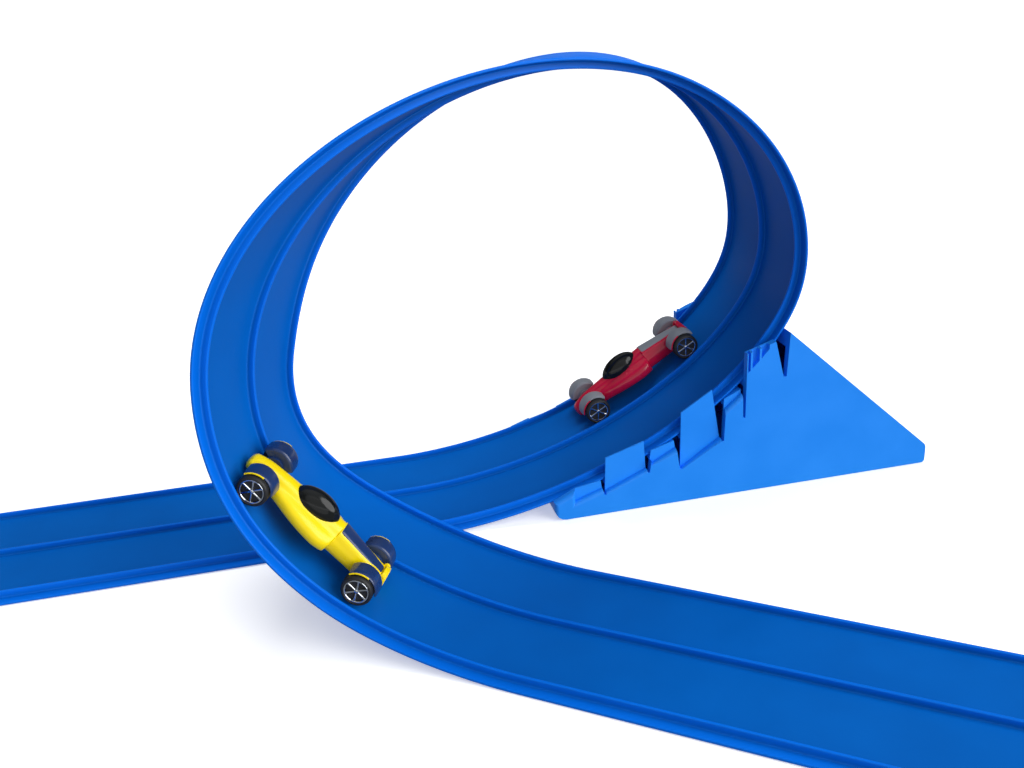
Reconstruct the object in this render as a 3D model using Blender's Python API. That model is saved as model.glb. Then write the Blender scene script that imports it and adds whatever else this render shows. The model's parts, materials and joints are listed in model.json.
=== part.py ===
"""Flexible two-lane toy race track bent into a loop over a wedge, with two small cars.

Units are metres and Z is up. The straight lead-in of the track runs along X, the loop rises
towards +X and comes back down nearer to the viewer (towards -Y). The layout is first built
from the start of the climb and then shifted to put the origin under its middle.
"""
import math
from collections import namedtuple

import bmesh
import bpy
import numpy as np
from mathutils import Matrix, Vector

# Track strip: one moulded length with two lanes
TRACK_WIDTH = 0.090
FLOOR_THICKNESS = 0.00135
FLANGE_WIDTH = 0.0050
RAIL_THICKNESS = 0.0015
RAIL_HEIGHT = 0.0033
DIVIDER_THICKNESS = 0.0018
DIVIDER_HEIGHT = 0.0033
LEAD_IN_LENGTH = 0.230
LEAD_OUT_LENGTH = 0.205

# Loop: the radius of bend is a mean radius times one plus a few harmonics of the climb angle
LOOP_RADIUS = 0.1332
LOOP_COSINES = (0.1593, 0.4819, 0.1939, 0.1200)
LOOP_SINES = (0.0, 0.2385, 0.0708, 0.1909)
TURN_OUT = math.radians(-36.5)
TURN_START = math.radians(263.3)
LEAN = math.radians(-14.2)
LEAN_START = math.radians(100.0)
LEAN_END = math.radians(330.0)
TWIST = math.radians(21.5)
TWIST_SWAP = math.radians(-18.0)
PATH_STEP = math.radians(0.25)
STATION_STEP = math.radians(4.0)
LEAD_STATIONS = 4

# Loop wedge: open shell that holds the rising part of the strip between two tabbed panels
WEDGE_START = 0.0690
WEDGE_END = 0.2788
WEDGE_APEX_X = 0.1945
WEDGE_APEX_Z = 0.0862
WEDGE_HEEL_HEIGHT = 0.0105
WEDGE_WALL = 0.0024
WEDGE_TOE_RADIUS = 0.0060
WEDGE_HEEL_RADIUS = 0.0040
WEDGE_FOOT_RADIUS = 0.0020
TOE_RISE = 0.0008
SHELF_THICKNESS = 0.0020
SHELF_REACH = 0.0060
TAB_RECESS = 0.0014
APEX_NOTCH_X = 0.1934
APEX_NOTCH_Z = 0.0624

# Tabs along the climb: start, end of the top edge, end at the foot, rise above the strip's
# underside at both ends, and below that underside the depth of the shoulder that the tab
# stands back behind and of the slot after the tab
Tab = namedtuple("Tab", "kind start top_end foot_end rise_start rise_end shoulder slot_depth")
TABS = (
    Tab("low", 0.0807, 0.0941, 0.0950, 0.0033, 0.0008, 0.0032, 0.0062),
    Tab("tall", 0.0968, 0.1172, 0.1183, 0.0122, 0.0099, 0.0055, 0.0072),
    Tab("low", 0.1210, 0.1335, 0.1358, 0.0022, -0.0006, 0.0045, 0.0170),
    Tab("tall", 0.1372, 0.1538, 0.1586, 0.0122, 0.0117, 0.0182, 0.0200),
    Tab("low", 0.1606, 0.1696, 0.1701, 0.0006, -0.0026, 0.0046, 0.0180),
    Tab("tall", 0.1713, 0.1868, 0.1918, 0.0157, 0.0040, -0.0049, 0.0),
)
SLOT_FOOT = 0.0012

# Rise of the tall tabs on the far panel at their start and at their foot's end
FAR_RISES = ((0.0035, 0.0035), (0.0035, 0.0035), (0.0073, -0.0093))

# The last tall tab has pockets between ribs in place of one shoulder, as shares of its length
POCKET_SPANS = ((0.04, 0.12), (0.19, 0.43), (0.50, 0.77))

# Clearances, and how far a cutting shape reaches past what it cuts
FIT_GAP = 0.0003
CUT_MARGIN = 0.0200

# Cars: both are the same model, X forward, Z up from the ground under the wheels
WHEEL_RADIUS = 0.0070
TYRE_WIDTH = 0.0060
TYRE_SHOULDER = 0.0008
HUB_RADIUS = 0.0057
HUB_INSET = 0.0006
HUB_DISH = 0.0010
HUB_LIP = 0.0007
HUB_BOSS_RADIUS = 0.0016
AXLE_RADIUS = 0.0009
AXLE_END_COVER = 0.0010
WHEELBASE = 0.0600
SIDE_PLAY = 0.0023
FENDER_GAP = 0.00045
FENDER_THICKNESS = 0.0010
FENDER_INSET = 0.0010
WHEEL_WALL = 0.0010
BASE_CLEARANCE = 0.0019
BASE_THICKNESS = 0.0011
BODY_WALL = 0.0013
CANOPY_LENGTH = 0.0220
CANOPY_WIDTH = 0.0100
CANOPY_X = 0.0050
CANOPY_FOOT = 0.0095
CANOPY_SILL = 0.0124
CANOPY_TOP = 0.0186
CANOPY_LEVELS = (0.0, 25.0, 48.0, 66.0, 80.0)
COVER_FRONT = -0.0095
COVER_REAR = -0.0340
COVER_FRONT_WIDTH = 0.0080
COVER_REAR_WIDTH = 0.0066
COVER_FRONT_TOP = 0.0152
COVER_REAR_TOP = 0.0124
COVER_THICKNESS = 0.0030
COVER_CHAMFER = 0.0006
YELLOW_CAR_ANGLE = math.radians(316.0)
RED_CAR_ANGLE = math.radians(31.5)
TRAVEL_SAMPLE = 0.012
TRAVEL_TIGHTEN = 0.95
ROUND_SEGMENTS = 24
ARCH_STEPS = 12
HUB_SEGMENTS = 16

# Body stations: X in half wheelbases, half width, underside and top
BODY_STATIONS = (
    (-1.267, 0.0046, 0.0050, 0.0100),
    (-1.167, 0.0054, 0.0036, 0.0116),
    (-0.800, 0.0054, 0.0033, 0.0130),
    (-0.467, 0.0058, 0.0033, 0.0138),
    (-0.200, 0.0086, 0.0033, 0.0142),
    (0.200, 0.0096, 0.0033, 0.0138),
    (0.600, 0.0066, 0.0033, 0.0125),
    (0.967, 0.0046, 0.0036, 0.0103),
    (1.200, 0.0031, 0.0046, 0.0086),
    (1.307, 0.0015, 0.0057, 0.0073),
)
BODY_ROUND_TOP = 2.4
BODY_ROUND_SIDE = 4.0
BODY_BELT = 0.42
BODY_RINGS = 21
BODY_SIDES = 22
HOLLOW_RINGS = 11
HOLLOW_SIDES = 14


def clear_scene():
    for item in list(bpy.data.objects):
        bpy.data.objects.remove(item)


def material(name, color, roughness, metallic=0.0):
    made = bpy.data.materials.new(name)
    made.use_nodes = True
    shader = made.node_tree.nodes["Principled BSDF"]
    shader.inputs["Base Color"].default_value = (*color, 1.0)
    shader.inputs["Roughness"].default_value = roughness
    shader.inputs["Metallic"].default_value = metallic
    made.diffuse_color = (*color, 1.0)
    return made


def mesh_from(name, vertices, faces):
    mesh = bpy.data.meshes.new(name)
    mesh.from_pydata([tuple(v) for v in vertices], [], faces)
    work = bmesh.new()
    work.from_mesh(mesh)
    bmesh.ops.recalc_face_normals(work, faces=work.faces)
    work.to_mesh(mesh)
    work.free()
    return mesh


def loft(name, rings):
    """Skin closed rings of equal count into one solid with flat ends."""
    count = len(rings[0])
    vertices = [point for ring in rings for point in ring]
    faces = []
    for row in range(len(rings) - 1):
        for column in range(count):
            after = (column + 1) % count
            a = row * count + column
            b = row * count + after
            faces.append((a, b, b + count, a + count))
    faces.append(tuple(range(count)))
    faces.append(tuple(range((len(rings) - 1) * count, len(rings) * count)))
    return mesh_from(name, vertices, faces)


def prism(name, outline, low, high):
    """Extrude an outline of (x, z) points along Y."""
    rings = [[(x, y, z) for x, z in outline] for y in (low, high)]
    return loft(name, rings)


def plate(name, outline, low, high):
    """Extrude an outline of (x, y) points along Z."""
    rings = [[(x, y, z) for x, y in outline] for z in (low, high)]
    return loft(name, rings)


def lathe(name, profile, segments):
    """Turn a closed profile of (radius, y) points about Y; points on the axis become poles."""
    vertices = []
    rows = []
    for radius, y in profile:
        if radius == 0.0:
            rows.append([len(vertices)] * segments)
            vertices.append((0.0, y, 0.0))
            continue
        rows.append(list(range(len(vertices), len(vertices) + segments)))
        for step in range(segments):
            turn = 2.0 * math.pi * step / segments
            vertices.append((radius * math.cos(turn), y, radius * math.sin(turn)))
    faces = []
    for row in range(len(rows)):
        here = rows[row]
        there = rows[(row + 1) % len(rows)]
        if here[0] == here[1] and there[0] == there[1]:
            continue
        for step in range(segments):
            after = (step + 1) % segments
            corners = [here[step], here[after], there[after], there[step]]
            faces.append(tuple(dict.fromkeys(corners)))
    return mesh_from(name, vertices, faces)


def boolean(base, tool, operation):
    pair = [bpy.data.objects.new("boolean_work", mesh) for mesh in (base, tool)]
    for item in pair:
        bpy.context.collection.objects.link(item)
    modifier = pair[0].modifiers.new("boolean", "BOOLEAN")
    modifier.solver = "EXACT"
    modifier.operation = operation
    modifier.object = pair[1]
    graph = bpy.context.evaluated_depsgraph_get()
    result = bpy.data.meshes.new_from_object(pair[0].evaluated_get(graph))
    for item in pair:
        bpy.data.objects.remove(item)
    return result


def moved(mesh, matrix):
    mesh.transform(matrix)
    if matrix.determinant() < 0.0:
        mesh.flip_normals()
    return mesh


def add_node(name, mesh, slot, matrix, parent=None, smooth=False):
    mesh.name = name
    mesh.materials.clear()
    mesh.materials.append(slot)
    node = bpy.data.objects.new(name, mesh)
    bpy.context.collection.objects.link(node)
    node.parent = parent
    if parent is not None:
        node.matrix_parent_inverse = parent.matrix_basis.inverted()
    node.matrix_basis = matrix
    for face in mesh.polygons:
        face.use_smooth = smooth
    return node


def smooth_step(value, start, end):
    share = np.clip((value - start) / (end - start), 0.0, 1.0)
    return (1.0 - np.cos(math.pi * share)) / 2.0


class Path:
    """Centre line of the lane floor with its tangent, side and normal directions."""

    def __init__(self):
        count = round(2.0 * math.pi / PATH_STEP) + 1
        climb = np.linspace(0.0, 2.0 * math.pi, count)
        bend = np.ones(count)
        for order, (cosine, sine) in enumerate(zip(LOOP_COSINES, LOOP_SINES), start=1):
            bend = bend + cosine * np.cos(order * climb) + sine * np.sin(order * climb)
        heading = TURN_OUT * smooth_step(climb, TURN_START, 2.0 * math.pi)
        share = np.clip((climb - LEAN_START) / (LEAN_END - LEAN_START), 0.0, 1.0)
        bump = np.sin(math.pi * share)
        lean = LEAN * bump ** 2
        twist = TWIST * bump ** 2 + TWIST_SWAP * bump * np.sin(2.0 * math.pi * share)

        up = np.array([0.0, 0.0, 1.0])
        ahead = np.stack([np.cos(heading), np.sin(heading), np.zeros(count)], axis=1)
        across = np.stack([-np.sin(heading), np.cos(heading), np.zeros(count)], axis=1)
        rise = np.cos(climb)[:, None] * ahead + np.sin(climb)[:, None] * up
        normal = -np.sin(climb)[:, None] * ahead + np.cos(climb)[:, None] * up
        tangent = np.cos(lean)[:, None] * rise + np.sin(lean)[:, None] * across
        side = -np.sin(lean)[:, None] * rise + np.cos(lean)[:, None] * across
        self.tangent = tangent
        self.side = np.cos(twist)[:, None] * side + np.sin(twist)[:, None] * normal
        self.normal = -np.sin(twist)[:, None] * side + np.cos(twist)[:, None] * normal

        speed = (LOOP_RADIUS * bend / np.cos(lean))[:, None] * tangent
        steps = (speed[1:] + speed[:-1]) / 2.0 * (climb[1] - climb[0])
        point = np.concatenate([np.zeros((1, 3)), np.cumsum(steps, axis=0)])
        point[:, 2] -= point[-1, 2] * (climb - np.sin(climb)) / (2.0 * math.pi)
        point[:, 2] += FLOOR_THICKNESS
        self.point = point
        self.climb = climb
        lengths = np.linalg.norm(np.diff(point, axis=0), axis=1)
        self.distance = np.concatenate([[0.0], np.cumsum(lengths)])

    def at(self, distance):
        """Point, tangent, side and normal at a distance from the start of the climb."""
        inside = min(max(distance, 0.0), self.distance[-1])
        found = []
        for table in (self.point, self.tangent, self.side, self.normal):
            values = [np.interp(inside, self.distance, table[:, axis]) for axis in range(3)]
            found.append(Vector(values))
        found[0] += found[1] * (distance - inside)
        return found

    def distance_of(self, climb):
        return float(np.interp(climb, self.climb, self.distance))

    def underside(self, x, drop=0.0):
        """Height of the strip's underside over X on the part of the climb held by the wedge."""
        rising = self.climb < math.pi / 2.0
        under = self.point[rising] - (FLOOR_THICKNESS + drop) * self.normal[rising]
        return float(np.interp(x, under[:, 0], under[:, 2]))


def track_section():
    """Section of the strip as (across, above the lane floor) points."""
    edge = TRACK_WIDTH / 2.0
    rail_out = edge - FLANGE_WIDTH
    rail_in = rail_out - RAIL_THICKNESS
    middle = DIVIDER_THICKNESS / 2.0
    right = [
        (edge, -FLOOR_THICKNESS),
        (edge, 0.0),
        (rail_out, 0.0),
        (rail_out, RAIL_HEIGHT),
        (rail_in, RAIL_HEIGHT),
        (rail_in, 0.0),
        (middle, 0.0),
        (middle, DIVIDER_HEIGHT),
    ]
    return right + [(-u, v) for u, v in reversed(right)]


def lane_centre():
    rail_in = TRACK_WIDTH / 2.0 - FLANGE_WIDTH - RAIL_THICKNESS
    return (rail_in + DIVIDER_THICKNESS / 2.0) / 2.0


def lane_width():
    rail_in = TRACK_WIDTH / 2.0 - FLANGE_WIDTH - RAIL_THICKNESS
    return rail_in - DIVIDER_THICKNESS / 2.0


def build_track(path, slot):
    loop_count = round(2.0 * math.pi / STATION_STEP)
    stops = [-LEAD_IN_LENGTH * (1.0 - step / LEAD_STATIONS) for step in range(LEAD_STATIONS)]
    stops += [path.distance_of(2.0 * math.pi * step / loop_count) for step in range(loop_count + 1)]
    end = path.distance[-1]
    stops += [end + LEAD_OUT_LENGTH * (step + 1) / LEAD_STATIONS for step in range(LEAD_STATIONS)]
    rings = []
    for stop in stops:
        point, tangent, side, normal = path.at(stop)
        rings.append([point + u * side + v * normal for u, v in track_section()])
    add_node("flexible_track", loft("flexible_track", rings), slot, Matrix())


def arc(centre, radius, start, end, steps):
    points = []
    for step in range(steps + 1):
        turn = math.radians(start + (end - start) * step / steps)
        points.append((centre[0] + radius * math.cos(turn), centre[1] + radius * math.sin(turn)))
    return points


def rounded(before, corner, after, radius, steps):
    """Points of a fillet between two straight edges."""
    corner = Vector(corner)
    first = (Vector(before) - corner).normalized()
    second = (Vector(after) - corner).normalized()
    half = first.angle(second) / 2.0
    reach = radius / math.tan(half)
    start = corner + first * reach
    end = corner + second * reach
    centre = corner + (first + second).normalized() * (radius / math.sin(half))
    points = []
    for step in range(steps + 1):
        spoke = (start - centre).lerp(end - centre, step / steps).normalized()
        points.append(tuple(centre + spoke * radius))
    return points


def wedge_outline(path):
    """Side outline of the wedge with its tabs, from the toe over the climb to the heel."""
    toe = (WEDGE_START + WEDGE_TOE_RADIUS, WEDGE_TOE_RADIUS)
    points = arc(toe, WEDGE_TOE_RADIUS, 270.0, 180.0, 4)
    points.append((WEDGE_START, path.underside(WEDGE_START) + TOE_RISE))
    last = TABS[-1]
    for tab in TABS:
        points.append((tab.start, path.underside(tab.start) + tab.rise_start))
        points.append((tab.top_end, path.underside(tab.top_end) + tab.rise_end))
        if tab is last:
            points.append((tab.foot_end, APEX_NOTCH_Z))
            continue
        foot = path.underside(tab.foot_end) - tab.slot_depth
        points.append((tab.foot_end, foot))
        points.append((tab.foot_end + SLOT_FOOT, foot))
    apex = (WEDGE_APEX_X, WEDGE_APEX_Z)
    heel = (WEDGE_END, WEDGE_HEEL_HEIGHT)
    points.append((APEX_NOTCH_X, APEX_NOTCH_Z))
    points.append(apex)
    foot = (WEDGE_END, 0.0)
    points += rounded(apex, heel, foot, WEDGE_HEEL_RADIUS, 4)
    points += rounded(heel, foot, (WEDGE_START, 0.0), WEDGE_FOOT_RADIUS, 3)
    return points


def climb_curve(path, drop, first_x, last_x):
    """Points of the strip's underside, lowered by a drop, between two X positions."""
    rising = path.climb < math.pi / 2.0
    under = path.point[rising] - (FLOOR_THICKNESS + drop) * path.normal[rising]
    step = round(STATION_STEP / PATH_STEP / 2.0)
    inner = [(x, z) for x, y, z in under[::step] if first_x < x < last_x]
    start = (first_x, path.underside(first_x, drop))
    end = (last_x, path.underside(last_x, drop))
    return [start] + inner + [end]


def carve_bed(path, body, inside, above):
    """Cut the way for the strip between the panels, the room below it and the gap in its shelf."""
    slope = Vector((WEDGE_END - WEDGE_APEX_X, WEDGE_HEEL_HEIGHT - WEDGE_APEX_Z)).normalized()
    back_top = Vector((WEDGE_APEX_X, WEDGE_APEX_Z)) + Vector((slope.y, -slope.x)) * WEDGE_WALL

    bed_start = WEDGE_START - CUT_MARGIN
    bed = climb_curve(path, FIT_GAP, bed_start, WEDGE_APEX_X)
    bed += [(WEDGE_APEX_X, above), (bed_start, above)]
    body = boolean(body, prism("bed", bed, -inside, inside), "DIFFERENCE")

    room_start = WEDGE_START + WEDGE_WALL
    ceiling = climb_curve(path, FIT_GAP + SHELF_THICKNESS, room_start, APEX_NOTCH_X - WEDGE_WALL)
    end_z = ceiling[-1][1] - WEDGE_WALL
    end_x = back_top.x + slope.x / slope.y * (end_z - back_top.y)
    heel_x = WEDGE_END - WEDGE_WALL
    heel_z = back_top.y + slope.y / slope.x * (heel_x - back_top.x)
    room = ceiling[:-1] + [(end_x, end_z), (heel_x, heel_z), (heel_x, WEDGE_WALL), (room_start, WEDGE_WALL)]
    body = boolean(body, prism("room", room, -inside, inside), "DIFFERENCE")

    gap_start = room_start + WEDGE_WALL
    gap_top = climb_curve(path, FIT_GAP / 2.0, gap_start, APEX_NOTCH_X)
    gap_low = climb_curve(path, 2.0 * FIT_GAP + SHELF_THICKNESS, gap_start, APEX_NOTCH_X)
    gap = prism("gap", gap_top + gap_low[::-1], SHELF_REACH - inside, inside - SHELF_REACH)
    return boolean(body, gap, "DIFFERENCE")


def cut_above(path, body, span, offsets, above, low, high):
    """Cut what stands above the strip's underside plus an offset at each end of an X span."""
    edge = [(x, path.underside(x) + offset) for x, offset in zip(span, offsets)]
    cutter = prism("cutter", edge + [(span[1], above), (span[0], above)], low, high)
    return boolean(body, cutter, "DIFFERENCE")


def build_wedge(path, slot):
    half = TRACK_WIDTH / 2.0 + FIT_GAP + WEDGE_WALL
    inside = half - WEDGE_WALL
    face = half - TAB_RECESS
    outside = half + CUT_MARGIN
    above = WEDGE_APEX_Z + 4.0 * CUT_MARGIN
    body = prism("loop_wedge", wedge_outline(path), -half, half)
    body = carve_bed(path, body, inside, above)

    last = TABS[-1]
    length = last.top_end - last.start
    spread = SLOT_FOOT / 2.0
    recesses = [(tab.start - spread, tab.foot_end + spread, tab.shoulder) for tab in TABS[:-1]]
    for low_share, high_share in POCKET_SPANS:
        recesses.append((last.start + length * low_share, last.start + length * high_share, last.shoulder))
    for start, end, shoulder in recesses:
        for low, high in ((face, outside), (-outside, -face)):
            body = cut_above(path, body, (start, end), (-shoulder, -shoulder), above, low, high)

    tall = [tab for tab in TABS if tab.kind == "tall"]
    for tab, rises in zip(tall, FAR_RISES):
        span = (tab.start - SLOT_FOOT / 4.0, tab.foot_end + SLOT_FOOT / 4.0)
        body = cut_above(path, body, span, rises, above, inside - FIT_GAP, outside)
    add_node("loop_wedge", body, slot, Matrix())


def car_half_width():
    return lane_width() / 2.0 - SIDE_PLAY


def car_frame(path, middle, across):
    """Matrix of a car standing on the lane floor around a distance along the track.

    Where the strip twists between the axles, the car is lifted until no tyre edge touches.
    """
    reach = WHEELBASE / 2.0
    for attempt in range(12):
        centres = []
        normals = []
        for distance in (middle - reach, middle + reach):
            point, tangent, side, normal = path.at(distance)
            centres.append(point + across * side + (WHEEL_RADIUS + FIT_GAP) * normal)
            normals.append(normal)
        reach *= WHEELBASE / (centres[0] - centres[1]).length
    forward = (centres[0] - centres[1]).normalized()
    up = normals[0] + normals[1]
    up = (up - forward * up.dot(forward)).normalized()
    left = up.cross(forward)
    lift = max(abs(left.dot(normal)) for normal in normals) * car_half_width()
    origin = (centres[0] + centres[1]) / 2.0 + (lift - WHEEL_RADIUS) * up
    frame = Matrix((forward, left, up)).transposed().to_4x4()
    frame.translation = origin
    return frame


def travel_axis(path, middle, across):
    """Matrix of the axis the car swings about over a short run; its Z is the axis."""
    before = car_frame(path, middle + TRAVEL_SAMPLE, across)
    after = car_frame(path, middle - TRAVEL_SAMPLE, across)
    here = car_frame(path, middle, across)
    turn = (after.to_3x3() @ before.to_3x3().inverted()).to_quaternion()
    axis, angle = turn.to_axis_angle()
    chord = after.translation - before.translation
    chord -= axis * chord.dot(axis)
    midpoint = (after.translation + before.translation) / 2.0
    centre = midpoint + axis.cross(chord) / (2.0 * math.tan(angle / 2.0))
    centre += axis * (here.translation - centre).dot(axis)
    centre = here.translation.lerp(centre, TRAVEL_TIGHTEN)
    frame = axis.to_track_quat("Z", "Y").to_matrix().to_4x4()
    frame.translation = centre
    return frame


def body_ends():
    return BODY_STATIONS[0][0] * WHEELBASE / 2.0, BODY_STATIONS[-1][0] * WHEELBASE / 2.0


def body_at(x):
    """Half width, underside and top of the body by smooth interpolation over its stations."""
    table = np.array(BODY_STATIONS)
    knots = table[:, 0] * WHEELBASE / 2.0
    slopes = np.gradient(table[:, 1:], knots, axis=0)
    index = int(np.clip(np.searchsorted(knots, x) - 1, 0, len(knots) - 2))
    span = knots[index + 1] - knots[index]
    t = float(np.clip((x - knots[index]) / span, 0.0, 1.0))
    start, end = table[index, 1:], table[index + 1, 1:]
    pull_start, pull_end = slopes[index] * span, slopes[index + 1] * span
    value = (2 * t**3 - 3 * t**2 + 1) * start + (t**3 - 2 * t**2 + t) * pull_start
    return value + (3 * t**2 - 2 * t**3) * end + (t**3 - t**2) * pull_end


def body_ring(x, half_width, low, top, count):
    belt = low + (top - low) * BODY_BELT
    ring = []
    for step in range(count):
        turn = 2.0 * math.pi * (step + 0.5) / count
        c, s = math.cos(turn), math.sin(turn)
        power = BODY_ROUND_TOP if s > 0.0 else BODY_ROUND_SIDE
        y = half_width * math.copysign(abs(c) ** (2.0 / power), c)
        reach = (top - belt) if s > 0.0 else (belt - low)
        ring.append((x, y, belt + reach * math.copysign(abs(s) ** (2.0 / power), s)))
    return ring


def box(low, high):
    outline = [(low[0], low[1]), (high[0], low[1]), (high[0], high[1]), (low[0], high[1])]
    return plate("box", outline, low[2], high[2])


def ellipse(length, width, middle, count):
    turns = [2.0 * math.pi * (step + 0.5) / count for step in range(count)]
    return [(middle + length / 2.0 * math.cos(t), width / 2.0 * math.sin(t)) for t in turns]


def cover_outline(grow):
    front = COVER_FRONT + grow
    rear = COVER_REAR - grow
    wide = COVER_FRONT_WIDTH / 2.0 + grow
    narrow = COVER_REAR_WIDTH / 2.0 + grow
    return [(front, wide), (rear, narrow), (rear, -narrow), (front, -wide)]


def body_mesh():
    rear, nose = body_ends()
    rings = []
    for x in np.linspace(rear, nose, BODY_RINGS):
        half_width, low, top = body_at(x)
        rings.append(body_ring(x, half_width, low, top, BODY_SIDES))
    body = loft("body_shell", rings)

    below = CUT_MARGIN / 2.0
    rings = []
    end_wall = 4.0 * BODY_WALL
    for x in np.linspace(rear + end_wall, nose - end_wall, HOLLOW_RINGS):
        half_width, low, top = body_at(x)
        inner = max(half_width - BODY_WALL, BODY_WALL / 2.0)
        rings.append(body_ring(x, inner, low - below, top - BODY_WALL, HOLLOW_SIDES))
    body = boolean(body, loft("hollow", rings), "DIFFERENCE")

    above = CANOPY_TOP + below
    opening = ellipse(CANOPY_LENGTH + 2 * FIT_GAP, CANOPY_WIDTH + 2 * FIT_GAP, CANOPY_X, ROUND_SEGMENTS)
    body = boolean(body, plate("opening", opening, WHEEL_RADIUS, above), "DIFFERENCE")
    body = boolean(body, plate("deck", cover_outline(FIT_GAP), WHEEL_RADIUS, above), "DIFFERENCE")
    slot = AXLE_RADIUS + 2.0 * FIT_GAP
    wide = car_half_width()
    for axle_x in (WHEELBASE / 2.0, -WHEELBASE / 2.0):
        low = (axle_x - slot, -wide, -below)
        high = (axle_x + slot, wide, WHEEL_RADIUS + slot)
        body = boolean(body, box(low, high), "DIFFERENCE")
    return body


def chassis_mesh():
    wide = car_half_width()
    fender_in = WHEEL_RADIUS + FENDER_GAP
    fender_out = fender_in + FENDER_THICKNESS
    axles = (WHEELBASE / 2.0, -WHEELBASE / 2.0)
    beside = [body_at(axle_x + reach)[0] for axle_x in axles for reach in (-fender_out, 0.0, fender_out)]
    inner_wall = max(beside) + 2.0 * FIT_GAP
    base_top = BASE_CLEARANCE + BASE_THICKNESS
    plate_half = inner_wall + 2.0 * WHEEL_WALL
    waist = WHEELBASE / 2.0 - fender_out - FENDER_THICKNESS
    pod_half = max(station[1] for station in BODY_STATIONS)
    nose = WHEELBASE / 2.0 + fender_out / 2.0
    outline = [(nose, plate_half / 2.0), (nose - plate_half / 2.0, plate_half), (waist, plate_half)]
    outline.append((waist - plate_half / 2.0, pod_half))
    rear = [(-x, y) for x, y in reversed(outline)]
    near = outline + rear
    chassis = plate("chassis", near + [(x, -y) for x, y in reversed(near)], BASE_CLEARANCE, base_top)
    for axle_x in axles:
        hub = (axle_x, WHEEL_RADIUS)
        tube = arc(hub, fender_out, 0.0, 180.0, ARCH_STEPS) + arc(hub, fender_in, 180.0, 0.0, ARCH_STEPS)
        middle = (fender_out + fender_in) / 2.0
        foot = BASE_CLEARANCE + BASE_THICKNESS / 2.0
        wall = arc(hub, middle, 0.0, 180.0, ARCH_STEPS)
        wall += [(axle_x - middle / 2.0, foot), (axle_x + middle / 2.0, foot)]
        for side in (1.0, -1.0):
            ends = sorted((side * inner_wall, side * (wide - FENDER_INSET)))
            chassis = boolean(chassis, prism("tube", tube, *ends), "UNION")
            start = inner_wall + WHEEL_WALL / 3.0
            ends = sorted((side * start, side * (start + WHEEL_WALL)))
            chassis = boolean(chassis, prism("wall", wall, *ends), "UNION")
        last_turn = 360.0 * (1.0 - 1.0 / ARCH_STEPS)
        bore = arc(hub, AXLE_RADIUS + FIT_GAP, 0.0, last_turn, ARCH_STEPS - 1)
        chassis = boolean(chassis, prism("bore", bore, -wide, wide), "DIFFERENCE")
    return chassis


def canopy_mesh():
    rings = []
    flat = ellipse(CANOPY_LENGTH, CANOPY_WIDTH, CANOPY_X, ROUND_SEGMENTS)
    rings.append([(x, y, CANOPY_FOOT) for x, y in flat])
    for level in CANOPY_LEVELS:
        turn = math.radians(level)
        size = math.cos(turn)
        height = CANOPY_SILL + (CANOPY_TOP - CANOPY_SILL) * math.sin(turn)
        rings.append([(CANOPY_X + (x - CANOPY_X) * size, y * size, height) for x, y in flat])
    return loft("canopy", rings)


def cover_mesh():
    def top_at(x):
        share = (x - COVER_FRONT) / (COVER_REAR - COVER_FRONT)
        return COVER_FRONT_TOP + (COVER_REAR_TOP - COVER_FRONT_TOP) * share

    rings = []
    for inset, drop in ((0.0, COVER_THICKNESS), (0.0, COVER_CHAMFER), (COVER_CHAMFER, 0.0)):
        rings.append([(x, y, top_at(x) - drop) for x, y in cover_outline(-inset)])
    return loft("engine_cover", rings)


def tyre_mesh():
    half = TYRE_WIDTH / 2.0
    bore = HUB_RADIUS + FIT_GAP
    tread = half - TYRE_SHOULDER
    shoulder = WHEEL_RADIUS - TYRE_SHOULDER
    profile = [(bore, -half), (shoulder, -half), (WHEEL_RADIUS, -tread)]
    profile += [(WHEEL_RADIUS, tread), (shoulder, half), (bore, half)]
    return lathe("tyre", profile, ROUND_SEGMENTS)


def hub_mesh():
    """Dished hub with a blind bore; its outer face looks towards +Y."""
    half = TYRE_WIDTH / 2.0 - HUB_INSET
    bore = AXLE_RADIUS + FIT_GAP
    floor = half - HUB_DISH
    lip = HUB_RADIUS - HUB_LIP
    profile = [(0.0, half), (HUB_BOSS_RADIUS, half), (HUB_BOSS_RADIUS, floor), (lip, floor), (lip, half)]
    profile += [(HUB_RADIUS, half), (HUB_RADIUS, -half), (bore, -half)]
    profile += [(bore, floor - AXLE_END_COVER), (0.0, floor - AXLE_END_COVER)]
    return lathe("hub", profile, HUB_SEGMENTS)


def axle_mesh():
    half = TYRE_WIDTH / 2.0 - HUB_INSET
    end = car_half_width() - TYRE_WIDTH / 2.0 + half
    end -= HUB_DISH + AXLE_END_COVER + FIT_GAP
    profile = [(0.0, end), (AXLE_RADIUS, end), (AXLE_RADIUS, -end), (0.0, -end)]
    return lathe("axle", profile, HUB_SEGMENTS)


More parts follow.
